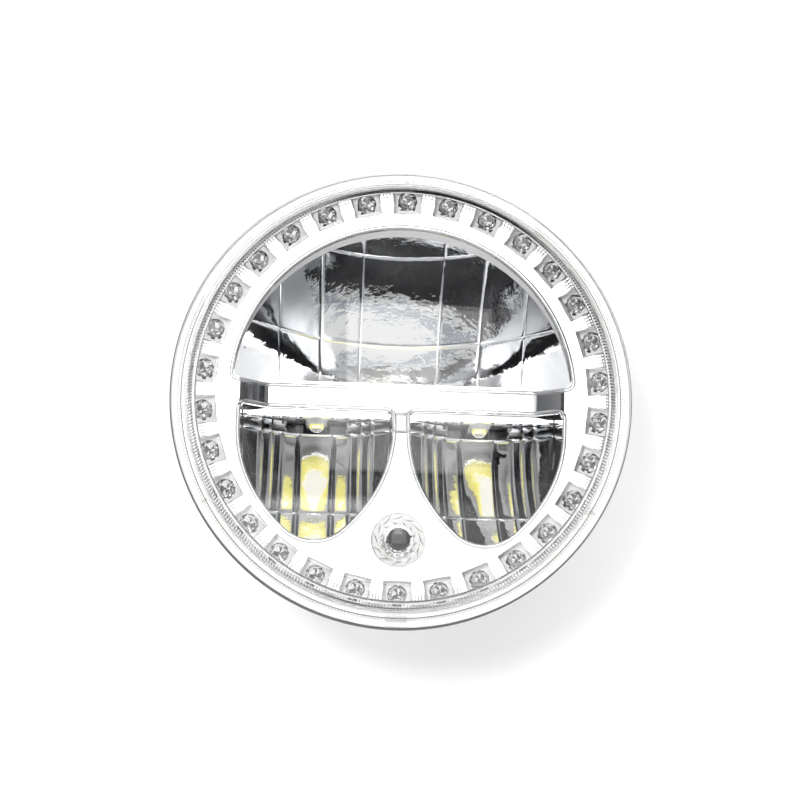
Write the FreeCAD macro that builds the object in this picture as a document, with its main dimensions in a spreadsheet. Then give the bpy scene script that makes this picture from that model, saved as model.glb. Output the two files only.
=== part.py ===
import FreeCAD, Part
import math
import os
import Sketcher
from FreeCAD import Placement, Rotation, Vector

# Round LED headlight for a motorcycle, 178 mm across its rim, to be clamped in a headlight bucket.
# Frame: the optical axis is Y. The lens looks along -Y, +Z is up and +X is on the right of a person
# who faces the lens. The origin is on the axis, in the plane where the rim's back face seats.

BACKWARD = Vector(0, 1, 0)
UPWARD = Vector(0, 0, 1)

# Driving dimensions in millimetres, with the counts and angles that have no formula of their own.
SIZES = [
    # Rim and housing
    ("rim_radius", 89.0, "outside of the mounting rim"),
    ("rim_thickness", 4.0, "rim of the housing, front to back"),
    ("rim_bore_radius", 80.6, "bore inside the rim that takes the ring board"),
    ("shelf_depth", 2.0, "from the seat plane forward to the shelf under the ring board"),
    ("mouth_radius", 78.0, "inside of the bowl at its mouth"),
    ("housing_wall", 3.0, "wall of the casting"),
    ("bowl_shoulder_radius", 71.0, "inside of the bowl at its shoulder"),
    ("bowl_shoulder_lead", 28.0, "shoulder in front of the bowl's floor"),
    ("bowl_waist_radius", 60.0, "inside of the bowl at its waist"),
    ("bowl_waist_lead", 11.0, "waist in front of the bowl's floor"),
    ("bowl_floor_radius", 52.0, "inside of the bowl at its floor"),
    ("bowl_floor_depth", 54.0, "depth of the bowl's floor behind the seat plane"),
    ("floor_thickness", 3.5, "floor of the bowl"),
    ("collar_radius", 45.5, "outside of the collar round the driver chamber"),
    ("collar_wall", 3.5, "wall of the collar"),
    ("collar_height", 14.5, "collar, behind the outside of the floor"),
    ("lug_count", 3, "locating lugs behind the rim"),
    ("lug_width", 9.0, "one lug, along the rim"),
    ("lug_radius", 84.5, "middle of a lug from the axis"),
    ("lug_height", 4.0, "one lug, across the rim"),
    ("lug_depth", 3.0, "one lug, behind the seat plane"),
    ("groove_inner_radius", 82.0, "inside of the lens groove in the rim"),
    ("groove_outer_radius", 86.0, "outside of the lens groove"),
    ("groove_depth", 2.5, "lens groove"),
    # Cooling fins
    ("fin_thickness", 2.4, "one fin"),
    ("fin_pitch", 9.0, "from one fin to the next"),
    ("fin_front_depth", 9.0, "where the fins start behind the seat plane"),
    ("fin_back_lead", 4.0, "end of the fins in front of the collar's end"),
    ("fin_front_radius", 80.0, "envelope of the fins at the front"),
    ("fin_middle_radius", 75.5, "envelope of the fins half way"),
    ("fin_middle_lead", 5.0, "place of that radius in front of the bowl's waist"),
    ("fin_back_radius", 64.0, "envelope of the fins at the back"),
    # Lens
    ("lens_radius", 88.3, "outside of the lens's flange"),
    ("lens_flange_thickness", 3.0, "flange of the lens"),
    ("lens_bore_radius", 81.0, "clear bore behind the lens's flange"),
    ("lens_wall", 2.0, "wall of the lens"),
    ("skirt_base_radius", 83.0, "foot of the fluted skirt"),
    ("skirt_front_radius", 80.0, "front edge of the fluted skirt"),
    ("skirt_height", 6.2, "skirt, in front of the lens's flange"),
    ("dome_rise", 8.8, "rise of the dome over the skirt's edge"),
    ("skirt_wall", 1.6, "wall of the skirt at its front edge"),
    ("mark_rise", 0.3, "index marks and gate tab, in front of the lens's flange"),
    ("mark_radius", 83.7, "middle of an index mark's crossbar from the axis"),
    ("mark_width", 3.6, "crossbar of an index mark"),
    ("mark_line", 1.0, "line width of an index mark"),
    ("mark_stem", 2.3, "stem of an index mark, outward"),
    ("gate_half_width", 4.0, "half the width of the gate tab"),
    ("gate_radius", 85.0, "middle of the gate tab from the axis"),
    ("gate_height", 2.6, "gate tab, across the flange"),
    ("tongue_clearance", 0.6, "between the lens's tongue and each side of the groove"),
    ("tongue_depth", 1.8, "tongue behind the lens's flange"),
    # Ring of position lights
    ("ring_count", 30, "small round optics in the ring"),
    ("ring_radius", 76.0, "circle of the small optics"),
    ("ring_inner_radius", 71.1, "inside of the ring board and of the optics' carrier"),
    ("board_edge_clearance", 0.4, "between the ring board and the rim's bore"),
    ("carrier_edge_clearance", 0.6, "between the optics' carrier and the rim's bore"),
    ("circuit_thickness", 1.6, "every printed board"),
    ("carrier_foot", 1.4, "feet of the optics' carrier on the ring board"),
    ("carrier_foot_width", 0.8, "width of a foot"),
    ("carrier_thickness", 1.2, "plate of the optics' carrier"),
    ("gem_sides", 10, "sides of one small optic"),
    ("gem_foot_radius", 2.9, "small optic where it leaves the carrier"),
    ("gem_radius", 3.75, "small optic at its widest"),
    ("gem_table_radius", 2.1, "small optic at its flat front"),
    ("gem_rise", 2.5, "carrier to the widest place"),
    ("gem_crown", 1.7, "widest place to the flat front"),
    ("ring_led_width", 3.0, "LED under a small optic, along the ring"),
    ("ring_led_height", 2.8, "the same, across the ring"),
    ("ring_led_thickness", 0.7, "the same, front to back"),
    # Bezel
    ("bezel_radius", 79.4, "outer ends of the bezel's teeth"),
    ("bezel_front", 9.0, "face of the bezel in front of the seat plane"),
    ("bezel_wall", 2.0, "wall of the bezel"),
    ("bezel_lip_width", 1.8, "lip behind the teeth that presses the carrier"),
    ("bezel_seat_clearance", 0.1, "between the lip and the carrier"),
    ("notch_width", 10.2, "window of one small optic"),
    ("bead_radius", 0.8, "half-round beads round the openings"),
    ("bar_half_height", 3.8, "flat of the centre bar, above and below the axis"),
    ("bar_half_width", 51.5, "flat of the centre bar, left and right of the axis"),
    ("bar_depth", 9.5, "face of the bar behind the face of the bezel"),
    ("ramp_end", 62.0, "outer end of the ramp beside the bar"),
    ("bezel_boss_shift", 0.9, "screw bosses outside the middle of the strip round the dome"),
    ("bezel_boss_inset", 4.8, "lower screw bosses beside the position light's hole"),
    ("bezel_boss_drop", 3.0, "the same bosses below the middle of that hole"),
    ("bezel_boss_skin", 0.5, "face left in front of a boss's thread"),
    ("bezel_ear_reach", 9.0, "from a bezel screw to the reflector that carries its ear"),
    # Openings of the bezel
    ("dome_opening_radius", 65.0, "arc of the upper opening"),
    ("dome_opening_base", 4.8, "lower edge of the upper opening above the axis"),
    ("dome_opening_corner", 3.0, "corners of the upper opening"),
    ("bowl_opening_centre", 32.4, "middle of each lower opening from the axis"),
    ("bowl_opening_top", 4.8, "upper edge of the lower openings below the axis"),
    ("bowl_opening_low", 56.2, "lowest place of the lower openings below the axis"),
    ("bowl_opening_corner", 2.4, "upper corners of the lower openings"),
    ("bowl_foot_radius", 15.9, "arc at the foot of a lower opening"),
    ("bowl_flank_radius", 57.4, "arc of its flanks"),
    ("bowl_shoulder_arc", 48.4, "arc of its shoulders"),
    ("bowl_foot_angle", 41.0, "turn at the end of the foot's arc, in degrees"),
    ("bowl_flank_angle", 60.0, "turn at the end of the flank's arc, in degrees"),
    # Reflectors
    ("reflector_gap", 0.2, "reflector behind the bezel, and over the plate"),
    ("reflector_inset", 0.3, "reflector outside the edge of its opening"),
    ("reflector_wall", 1.6, "wall of a reflector"),
    ("reflector_flange", 2.0, "flange round a reflector's front edge"),
    ("upper_dish_gap", 0.4, "between the upper dish and the flange of the LED plate"),
    ("upper_dish_margin", 1.3, "front edge of the upper dish outside its opening"),
    ("upper_axis_height", 6.0, "axis of the upper dish over the lamp's axis"),
    ("column_pitch", 16.0, "width of one facet of the upper dish"),
    ("row_pitch", 30.0, "height of one facet of the upper dish"),
    ("row_base", 28.5, "height of the first row's upper edge"),
    ("column_step", 0.5, "step between neighbouring columns"),
    ("row_step", 0.3, "step between neighbouring rows"),
    ("lower_dish_lead", 8.0, "deepest place of the lower bowls in front of the upper dish's"),
    ("lower_dish_margin", 1.4, "front edge of the lower bowls outside the foot of their opening"),
    ("lower_axis_height", 8.0, "axis of the lower bowls below the lamp's axis"),
    ("flute_wide", 6.8, "first flutes' edge, left or right of the middle of a lower bowl"),
    ("flute_middle", 13.7, "second flutes' edge"),
    ("flute_narrow", 17.9, "third flutes' edge"),
    ("flute_last", 21.8, "fourth flutes' edge"),
    ("lower_row", 44.0, "cross step of the lower bowls below the axis"),
    ("wire_slot_width", 24.0, "slot through the back of each dish for its ribbon"),
    ("wire_slot_height", 4.6, "height of that slot over the plate"),
    ("hood_front", 3.5, "front of the hood strip behind the seat plane"),
    ("hood_depth", 7.0, "hood strip, front to back"),
    ("hood_step", 1.3, "thickness of each layer of the hood strip"),
    ("ear_radius", 3.6, "screw ear of a reflector"),
    ("ear_thickness", 2.0, "thickness of an ear"),
    ("upper_ear_shift", 1.5, "upper ears in front of the upper dish's focus"),
    ("lower_ear_shift", 2.0, "lower ears in front of the deepest place of a bowl"),
    ("upper_ear_stand", 4.8, "middle of an upper ear beside the dish"),
    ("lower_ear_stand", 6.2, "middle of a lower ear beside the bowl"),
    ("ear_arm", 10.0, "arm of an ear, from its middle into the shell"),
    ("dish_wall", 2.1, "wall of a dish at its deepest place"),
    # LED plate and boards
    ("plate_half", 4.2, "half the thickness of the LED plate"),
    ("plate_front", 3.2, "front edge of the plate behind the seat plane"),
    ("plate_front_half", 57.0, "half the width of the plate at its front"),
    ("plate_bend_lead", 2.0, "where the plate starts to narrow in front of the bowl's shoulder"),
    ("plate_back_half", 41.0, "half the width of the plate at its back"),
    ("flange_thickness", 4.0, "upright flange at the back of the plate"),
    ("flange_half_width", 41.0, "half the width of that flange"),
    ("flange_half_height", 13.0, "half the height of that flange"),
    ("pad_thickness", 0.3, "heat-conducting pad under a board"),
    ("board_width", 26.0, "LED board, left to right"),
    ("board_front", 11.5, "front edge of the LED boards behind the seat plane"),
    ("board_back_lead", 5.0, "their back edge in front of the deepest place of the lower bowls"),
    ("led_side", 6.6, "base of a main LED"),
    ("led_base", 1.0, "thickness of that base"),
    ("led_dome_radius", 3.1, "dome of a main LED"),
    ("board_screw_inset", 3.0, "board screws inside the board's front corners"),
    # Ribbons and their sockets
    ("ribbon_width", 8.0, "ribbon from an LED board to the driver"),
    ("ribbon_thickness", 0.4, "every ribbon"),
    ("window_half_width", 5.5, "half the width of a ribbon's window"),
    ("window_half_height", 2.2, "half the height of a ribbon's window"),
    ("socket_width", 11.0, "socket on the driver board"),
    ("socket_height", 5.0, "the same, upright"),
    ("socket_depth", 3.8, "the same, front to back"),
    ("ring_window_drop", 24.0, "window of the two long ribbons below the axis"),
    ("long_ribbon_width", 4.0, "each of the two long ribbons"),
    ("long_ribbon_offset", 3.4, "middle of each long ribbon from the centre plane"),
    ("ribbon_lap", 3.0, "ribbon that lies on the board where it starts"),
    ("ring_ribbon_rise", 3.5, "first bend of the ring's ribbon above the ring's circle"),
    ("ribbon_wall_gap", 9.0, "ring's ribbon inside the bowl's waist"),
    ("ribbon_spacing", 1.2, "between the two long ribbons where they run side by side"),
    # Position light
    ("position_drop", 55.5, "middle of the position light below the axis"),
    ("position_bore_radius", 10.4, "hole in the bezel for the position optic"),
    ("position_clearance", 0.3, "between the optic and that hole"),
    ("position_sides", 12, "sides of the position optic"),
    ("position_table_radius", 5.6, "flat front of the position optic"),
    ("position_crown", 3.2, "position optic in front of the bezel"),
    ("position_pip_radius", 4.3, "round inner lens of the position optic"),
    ("position_flange", 1.0, "flange of the optic behind the bezel"),
    ("position_girdle", 0.6, "upright edge of the optic in front of the bezel"),
    ("position_pip_rise", 1.1, "rise of its round inner lens"),
    ("can_wall", 1.5, "wall of the light can behind the optic"),
    ("can_depth", 8.0, "inside depth of that can"),
    # Driver
    ("standoff_height", 5.0, "standoffs under the driver board"),
    ("standoff_radius", 3.4, "one standoff"),
    ("standoff_reach", 23.3, "standoff left or right of the axis, and above or below it"),
    ("driver_board_radius", 39.0, "round driver board"),
    ("choke_radius", 6.0, "wound choke"),
    ("choke_height", 5.6, "the same, on its board"),
    ("capacitor_radius", 3.6, "electrolytic capacitor"),
    ("capacitor_height", 6.6, "the same, on its board"),
    ("chip_height", 1.6, "chips on the driver board"),
    ("terminal_half_width", 8.0, "half the width of the supply terminal"),
    ("terminal_height", 3.2, "the same, on its board"),
    ("terminal_rise", 7.0, "the same, upright"),
    ("terminal_drop", 34.0, "its lower edge below the axis"),
    # Back cover and what it carries
    ("gasket_thickness", 1.2, "gasket under the back cover"),
    ("cover_thickness", 3.0, "back cover"),
    ("cover_boss_radius", 4.6, "screw boss beside the collar"),
    ("cover_screw_radius", 47.5, "circle of the cover screws"),
    ("cover_screw_count", 6, "cover screws"),
    ("cover_panel_radius", 31.0, "raised middle of the cover"),
    ("cover_panel_rise", 1.2, "its rise"),
    ("gland_drop", 17.0, "cable gland below the axis"),
    ("gland_thread_radius", 5.0, "thread of the gland"),
    ("gland_flats", 13.0, "gland body and locknut across their flats"),
    ("gland_hex_thickness", 3.2, "hexagon of the gland body"),
    ("gland_shank", 7.0, "shank of the gland body through the cover"),
    ("gland_neck", 5.0, "neck of the gland body behind its hexagon"),
    ("gland_cap_length", 8.4, "cap of the gland"),
    ("gland_cap_radius", 6.9, "outside of the cap"),
    ("cable_radius", 2.5, "cable that the gland takes"),
    ("gland_cap_gap", 0.4, "between the hexagon and the cap"),
    ("gland_lip", 1.4, "lip and chamfer at the back of the cap"),
    ("gland_mouth", 0.6, "cap's mouth outside the cable"),
    ("gland_seal_gap", 0.3, "seal inside the cap's thread"),
    ("gland_bore_gap", 0.5, "body's bore outside the cable"),
    ("locknut_thickness", 2.8, "locknut inside the cover"),
    ("vent_rise", 17.0, "breather above the axis"),
    ("vent_radius", 5.2, "head of the breather"),
    ("vent_stem_radius", 2.9, "stem of the breather"),
    ("vent_head", 2.6, "head of the breather"),
    ("vent_chamfer", 0.8, "chamfer round that head"),
    ("vent_tail", 1.5, "stem inside the cover"),
    ("fit_clearance", 0.1, "round screws and stems in their holes"),
    # Screws
    ("small_screw_radius", 0.95, "bezel and board screws"),
    ("middle_screw_radius", 1.45, "reflector, driver and cover screws"),
    ("large_screw_radius", 1.95, "plate screws"),
    ("small_screw_length", 5.0, "bezel and board screws under the head"),
    ("middle_screw_length", 7.0, "reflector, driver and cover screws under the head"),
    ("large_screw_length", 6.6, "plate screws under the head"),
    ("driver_screw_length", 6.0, "driver screws under the head"),
    # Modelling
    ("cut_margin", 5.0, "how far a cutting shape stands out of what it cuts"),
]

# Screws round the dome and at the flanks of the bowls, in degrees clockwise from the top
DOME_SCREW_ANGLES = (-62.0, -22.0, 22.0, 62.0)
FLANK_SCREW_ANGLE = 105.0

# Places on the driver board, right of the axis and above it: choke, capacitors, then chips with sizes
CHOKE_PLACE = (-14.0, 9.0)
CAPACITOR_PLACES = ((2.0, 26.0), (12.0, 26.0), (18.0, 8.0))
CHIP_PLACES = ((0, 8, 8, 7), (5, -6, 6, 6), (-24, -8, 7, 9), (20, -8, 9, 6))

# Proportions of a pan-head screw, from its shank's radius
HEAD_RADIUS = 1.9
HEAD_HEIGHT = 1.2
HEAD_ROUND = 0.45
RECESS_RADIUS = 0.95
RECESS_DEPTH = 0.6


class Size:
    """A length that carries its value now and its formula in the sheet."""

    def __init__(self, value, formula):
        self.value = value
        self.formula = formula

    def __float__(self):
        return float(self.value)

    def __neg__(self):
        return Size(-self.value, f"(-{self.formula})")

    def __add__(self, other):
        other = as_size(other)
        return Size(self.value + other.value, f"({self.formula} + {other.formula})")

    def __sub__(self, other):
        other = as_size(other)
        return Size(self.value - other.value, f"({self.formula} - {other.formula})")

    def __mul__(self, other):
        other = as_size(other)
        return Size(self.value * other.value, f"({self.formula} * {other.formula})")

    def __truediv__(self, other):
        other = as_size(other)
        return Size(self.value / other.value, f"({self.formula} / {other.formula})")


ZERO = Size(0.0, "0")


def as_size(number):
    """Wraps a plain number, so that it can stand in a formula."""
    if isinstance(number, Size):
        return number
    return Size(float(number), repr(float(number)))


def turned(length, angle):
    """The two parts of a length that points at an angle in degrees from the X axis."""
    across = length * Size(math.cos(math.radians(angle)), f"cos({angle} deg)")
    along = length * Size(math.sin(math.radians(angle)), f"sin({angle} deg)")
    return across, along


class Sheet:
    """The driving dimensions: a spreadsheet in the document, read as Size attributes."""

    def __init__(self, doc):
        cells = doc.addObject("Spreadsheet::Sheet", "sheet")
        for row, (name, value, meaning) in enumerate(SIZES, start=1):
            cells.set(f"A{row}", name)
            cells.set(f"B{row}", str(value))
            cells.set(f"C{row}", meaning)
            cells.setAlias(f"B{row}", name)
        doc.recompute()
        for name, _, _ in SIZES:
            setattr(self, name, Size(float(cells.get(name)), f"sheet.{name}"))
        # Places along the axis that several pieces share
        self.rim_front = -self.rim_thickness
        self.lens_front = self.rim_front - self.lens_flange_thickness
        self.skirt_front = self.lens_front - self.skirt_height
        self.shelf = -self.shelf_depth
        self.ring_board_front = self.shelf - self.circuit_thickness
        self.carrier_back = self.ring_board_front - self.carrier_foot
        self.carrier_front = self.carrier_back - self.carrier_thickness
        self.bezel_face = -self.bezel_front
        self.bezel_back = self.bezel_face + self.bezel_wall
        self.bar_face = self.bezel_face + self.bar_depth
        self.reflector_front = self.bezel_back + self.reflector_gap
        self.bowl_shoulder_depth = self.bowl_floor_depth - self.bowl_shoulder_lead
        self.bowl_waist_depth = self.bowl_floor_depth - self.bowl_waist_lead
        self.plate_bend_depth = self.bowl_shoulder_depth - self.plate_bend_lead
        self.plate_back = self.bowl_floor_depth - self.flange_thickness
        self.floor_back = self.bowl_floor_depth + self.floor_thickness
        self.collar_back = self.floor_back + self.collar_height
        self.fin_middle_depth = self.bowl_waist_depth - self.fin_middle_lead
        self.fin_back_depth = self.collar_back - self.fin_back_lead
        self.cover_front = self.collar_back + self.gasket_thickness
        self.cover_back = self.cover_front + self.cover_thickness
        self.panel_back = self.cover_back + self.cover_panel_rise
        self.driver_front = self.floor_back + self.standoff_height
        self.driver_back = self.driver_front + self.circuit_thickness
        # Reflectors, each with the focal length that brings its shell to the edge of its opening
        self.upper_vertex = self.plate_back - self.upper_dish_gap - self.dish_wall
        self.lower_vertex = self.upper_vertex - self.lower_dish_lead
        reach = self.dome_opening_radius + self.upper_dish_margin
        self.upper_focal = reach * reach / (self.upper_vertex - self.reflector_front) / 4
        reach = self.bowl_opening_low - self.lower_axis_height + self.lower_dish_margin
        self.lower_focal = reach * reach / (self.lower_vertex - self.reflector_front) / 4
        # Heights and depths that the plate, its boards and its LEDs share
        self.board_back = self.lower_vertex - self.board_back_lead
        self.board_foot = self.plate_half + self.pad_thickness
        self.board_top = self.board_foot + self.circuit_thickness
        self.upper_focus = self.upper_vertex - self.upper_focal
        self.lower_focus = self.lower_vertex - self.lower_focal
        self.ribbon_height = self.board_top + self.ribbon_thickness / 2


class Lamp:
    """The document, its sheet and the finished pieces by name."""

    def __init__(self):
        self.doc = FreeCAD.newDocument("headlight")
        self.sheet = Sheet(self.doc)
        self.pieces = []

    def body(self, name):
        """Starts a sub-part that is made of sketched features."""
        body = self.doc.addObject("PartDesign::Body", name)
        body.Label = name
        self.pieces.append(body)
        return body

    def feature(self, name, shape):
        """Adds a sub-part whose shape was worked out with Part's own functions."""
        piece = self.doc.addObject("Part::Feature", name)
        piece.Label = name
        piece.Shape = shape
        self.pieces.append(piece)
        return piece

    def helper(self, name):
        """Starts a body that only gives its shape to another sub-part."""
        body = self.doc.addObject("PartDesign::Body", name)
        body.Label = name
        return body


def origin_part(body, role):
    """Finds a plane or an axis of the body's own origin."""
    for feature in body.Origin.OriginFeatures:
        if feature.Role == role:
            return feature
    raise ValueError(f"{body.Label} has no {role}")


def sketch_on(body, role, name, offset=ZERO):
    """Starts a sketch on one of the body's planes, moved along the plane's normal."""
    sketch = body.newObject("Sketcher::SketchObject", f"{body.Label}_{name}")
    sketch.AttachmentSupport = [(origin_part(body, role), "")]
    sketch.MapMode = "FlatFace"
    sketch.setExpression("AttachmentOffset.Base.z", offset.formula)
    return sketch


def sketch_facing(body, name, depth):
    """Starts a sketch that faces forward, at a depth behind the seat plane."""
    return sketch_on(body, "XZ_Plane", name, -depth)


def pin(sketch, edge, end, across, along):
    """Holds one end of an edge at two sizes measured from the sketch's origin."""
    for kind, place in (("DistanceX", across), ("DistanceY", along)):
        rule = Sketcher.Constraint(kind, -1, 1, edge, end, float(place))
        number = sketch.addConstraint(rule)
        sketch.setExpression(f"Constraints[{number}]", place.formula)


def minor_arc(start, finish, radius, side):
    """The short arc between two points, with its centre on the left (1) or the right (-1)."""
    chord = finish.sub(start)
    half = chord.Length / 2
    left = Vector(-chord.y, chord.x, 0).normalize()
    middle = start.add(finish).multiply(0.5)
    reach = math.sqrt(max(radius * radius - half * half, 0))
    centre = middle.add(Vector(left).multiply(side * reach))
    crest = centre.sub(Vector(left).multiply(side * radius))
    if side > 0:
        return Part.Arc(start, crest, finish)
    return Part.Arc(finish, crest, start)


def outline(sketch, corners, bends=None):
    """Closes an outline through the corners; bends gives an edge's radius and its centre's side."""
    corners = [(as_size(across), as_size(along)) for across, along in corners]
    bends = bends or {}
    points = [Vector(float(across), float(along), 0) for across, along in corners]
    first = sketch.GeometryCount
    starts = []
    for index, start in enumerate(points):
        finish = points[(index + 1) % len(points)]
        if index in bends:
            radius, side = bends[index]
            sketch.addGeometry(minor_arc(start, finish, float(radius), side), False)
            starts.append(1 if side > 0 else 2)
            rule = Sketcher.Constraint("Radius", first + index, float(radius))
            number = sketch.addConstraint(rule)
            sketch.setExpression(f"Constraints[{number}]", radius.formula)
        else:
            sketch.addGeometry(Part.LineSegment(start, finish), False)
            starts.append(1)
    for index, (across, along) in enumerate(corners):
        before = (index - 1) % len(corners)
        end_before = 3 - starts[before]
        rule = Sketcher.Constraint("Coincident", first + before, end_before, first + index, starts[index])
        sketch.addConstraint(rule)
        pin(sketch, first + index, starts[index], across, along)


def rectangle(sketch, left, right, low, high):
    """Draws a rectangle between four sizes."""
    outline(sketch, [(left, low), (right, low), (right, high), (left, high)])


def centred(sketch, across, along, half_width, half_height):
    """Draws a rectangle round a middle point."""
    across = as_size(across)
    along = as_size(along)
    rectangle(sketch, across - half_width, across + half_width, along - half_height, along + half_height)


def circle(sketch, across, along, radius):
    """Draws a circle held at its middle and its radius."""
    across = as_size(across)
    along = as_size(along)
    middle = Vector(float(across), float(along), 0)
    number = sketch.addGeometry(Part.Circle(middle, UPWARD, float(radius)), False)
    pin(sketch, number, 3, across, along)
    rule = sketch.addConstraint(Sketcher.Constraint("Radius", number, float(radius)))
    sketch.setExpression(f"Constraints[{rule}]", radius.formula)


def hexagon(sketch, across, along, flats):
    """Draws a hexagon with two flats upright."""
    radius = flats * (1 / math.sqrt(3))
    corners = []
    for index in range(6):
        reach, rise = turned(radius, 30 + 60 * index)
        corners.append((reach + across, rise + along))
    outline(sketch, corners)


def revolve(body, sketch, name):
    """Turns a profile once round the lamp's axis, or round the sketch's own upright axis."""
    feature = body.newObject("PartDesign::Revolution", f"{body.Label}_{name}")
    feature.Profile = sketch
    feature.ReferenceAxis = (sketch, ["V_Axis"])
    feature.Angle = 360
    return feature


def pad(body, sketch, name, length, backward=False, both=False):
    """Raises a profile by a length; both spreads the length evenly on either side."""
    feature = body.newObject("PartDesign::Pad", f"{body.Label}_{name}")
    feature.Profile = sketch
    feature.setExpression("Length", length.formula)
    feature.Reversed = backward
    if both:
        feature.SideType = "Symmetric"
    return feature


def pocket(body, sketch, name):
    """Cuts a profile right through the body, both ways."""
    feature = body.newObject("PartDesign::Pocket", f"{body.Label}_{name}")
    feature.Profile = sketch
    feature.Type = "ThroughAll"
    feature.SideType = "Symmetric"
    return feature


def pocket_to(body, sketch, name, depth, backward):
    """Cuts a profile to a depth, towards the back or towards the front."""
    feature = body.newObject("PartDesign::Pocket", f"{body.Label}_{name}")
    feature.Profile = sketch
    feature.setExpression("Length", depth.formula)
    feature.Reversed = not backward
    return feature


def around(body, features, name, count):
    """Repeats features evenly round the lamp's axis."""
    pattern = body.newObject("PartDesign::PolarPattern", f"{body.Label}_{name}")
    pattern.Originals = features
    pattern.Axis = (origin_part(body, "Y_Axis"), [""])
    pattern.Angle = 360
    pattern.setExpression("Occurrences", count.formula)
    body.Tip = pattern
    return pattern


def round_angles(count, start=0.0):
    """Even angles in degrees round the axis, clockwise from the top as seen from the front."""
    return [start + 360.0 * index / count for index in range(count)]


def at_clock(radius, angle):
    """Left-right and up-down place on a circle, clockwise from the top as seen from the front."""
    turn = math.radians(angle)
    return radius * math.sin(turn), radius * math.cos(turn)


def prism(wires, front, back):
    """Raises flat forward-facing wires, drawn at depth 0, between two depths."""
    face = Part.makeFace(wires, "Part::FaceMakerBullseye")
    face.translate(BACKWARD * front)
    return face.extrude(BACKWARD * (back - front))


def box(left, right, front, back, low, high):
    """A block between six planes."""
    return Part.makeBox(right - left, back - front, high - low, Vector(left, front, low))


def disc(radius, front, back, across=0.0, up=0.0):
    """A round bar along the lamp's axis, between two depths."""
    return Part.makeCylinder(radius, back - front, Vector(across, front, up), BACKWARD)


def spun(points):
    """The solid that a closed profile of (radius, depth) points makes round the lamp's axis."""
    corners = [Vector(radius, depth, 0) for radius, depth in points]
    face = Part.Face(Part.makePolygon(corners + corners[:1]))
    return face.revolve(Vector(0, 0, 0), BACKWARD, 360)


def lens(lamp):
    """Clear polycarbonate front: a flange with a tongue, a fluted skirt and a shallow dome."""
    s = lamp.sheet
    body = lamp.body("lens")
    sketch = sketch_on(body, "XY_Plane", "profile")
    outer_arc = (s.skirt_front_radius * s.skirt_front_radius + s.dome_rise * s.dome_rise) / (s.dome_rise * 2)
    inner_edge = s.skirt_front_radius - s.skirt_wall
    inner_arc = (inner_edge * inner_edge + s.dome_rise * s.dome_rise) / (s.dome_rise * 2)
    inner_front = s.skirt_front + s.lens_wall
    tongue_inner = s.groove_inner_radius + s.tongue_clearance
    tongue_outer = s.groove_outer_radius - s.tongue_clearance
    corners = [
        (s.lens_radius, s.rim_front),
        (s.lens_radius, s.lens_front),
        (s.skirt_base_radius, s.lens_front),
        (s.skirt_front_radius, s.skirt_front),
        (ZERO, s.skirt_front - s.dome_rise),
        (ZERO, inner_front - s.dome_rise),
        (inner_edge, inner_front),
        (s.lens_bore_radius, s.lens_front),
        (s.lens_bore_radius, s.rim_front),
        (tongue_inner, s.rim_front),
        (tongue_inner, s.rim_front + s.tongue_depth),
        (tongue_outer, s.rim_front + s.tongue_depth),
        (tongue_outer, s.rim_front),
    ]
    outline(sketch, corners, {3: (outer_arc, -1), 5: (inner_arc, 1)})
    revolve(body, sketch, "turned")
    half = s.mark_line / 2
    root = s.lens_front + s.mark_rise
    crossbar = sketch_facing(body, "mark_crossbar", root)
    centred(crossbar, ZERO, s.mark_radius, s.mark_width / 2, half)
    stem = sketch_facing(body, "mark_stem", root)
    rectangle(stem, -half, half, s.mark_radius, s.mark_radius + half + s.mark_stem)
    rise = s.mark_rise * 2
    marks = [pad(body, crossbar, "mark_crossbar_raised", rise), pad(body, stem, "mark_stem_raised", rise)]
    around(body, marks, "marks_round", s.lug_count)
    gate = sketch_facing(body, "gate", root)
    centred(gate, ZERO, -s.gate_radius, s.gate_half_width, s.gate_height / 2)
    pad(body, gate, "gate_raised", rise)


def lens_seal(lamp):
    """Bead of sealant at the bottom of the rim's groove, under the lens's tongue."""
    s = lamp.sheet
    body = lamp.body("lens_seal")
    sketch = sketch_on(body, "XY_Plane", "profile")
    top = s.rim_front + s.tongue_depth
    rectangle(sketch, s.groove_inner_radius, s.groove_outer_radius, top, s.rim_front + s.groove_depth)
    revolve(body, sketch, "turned")


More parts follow.
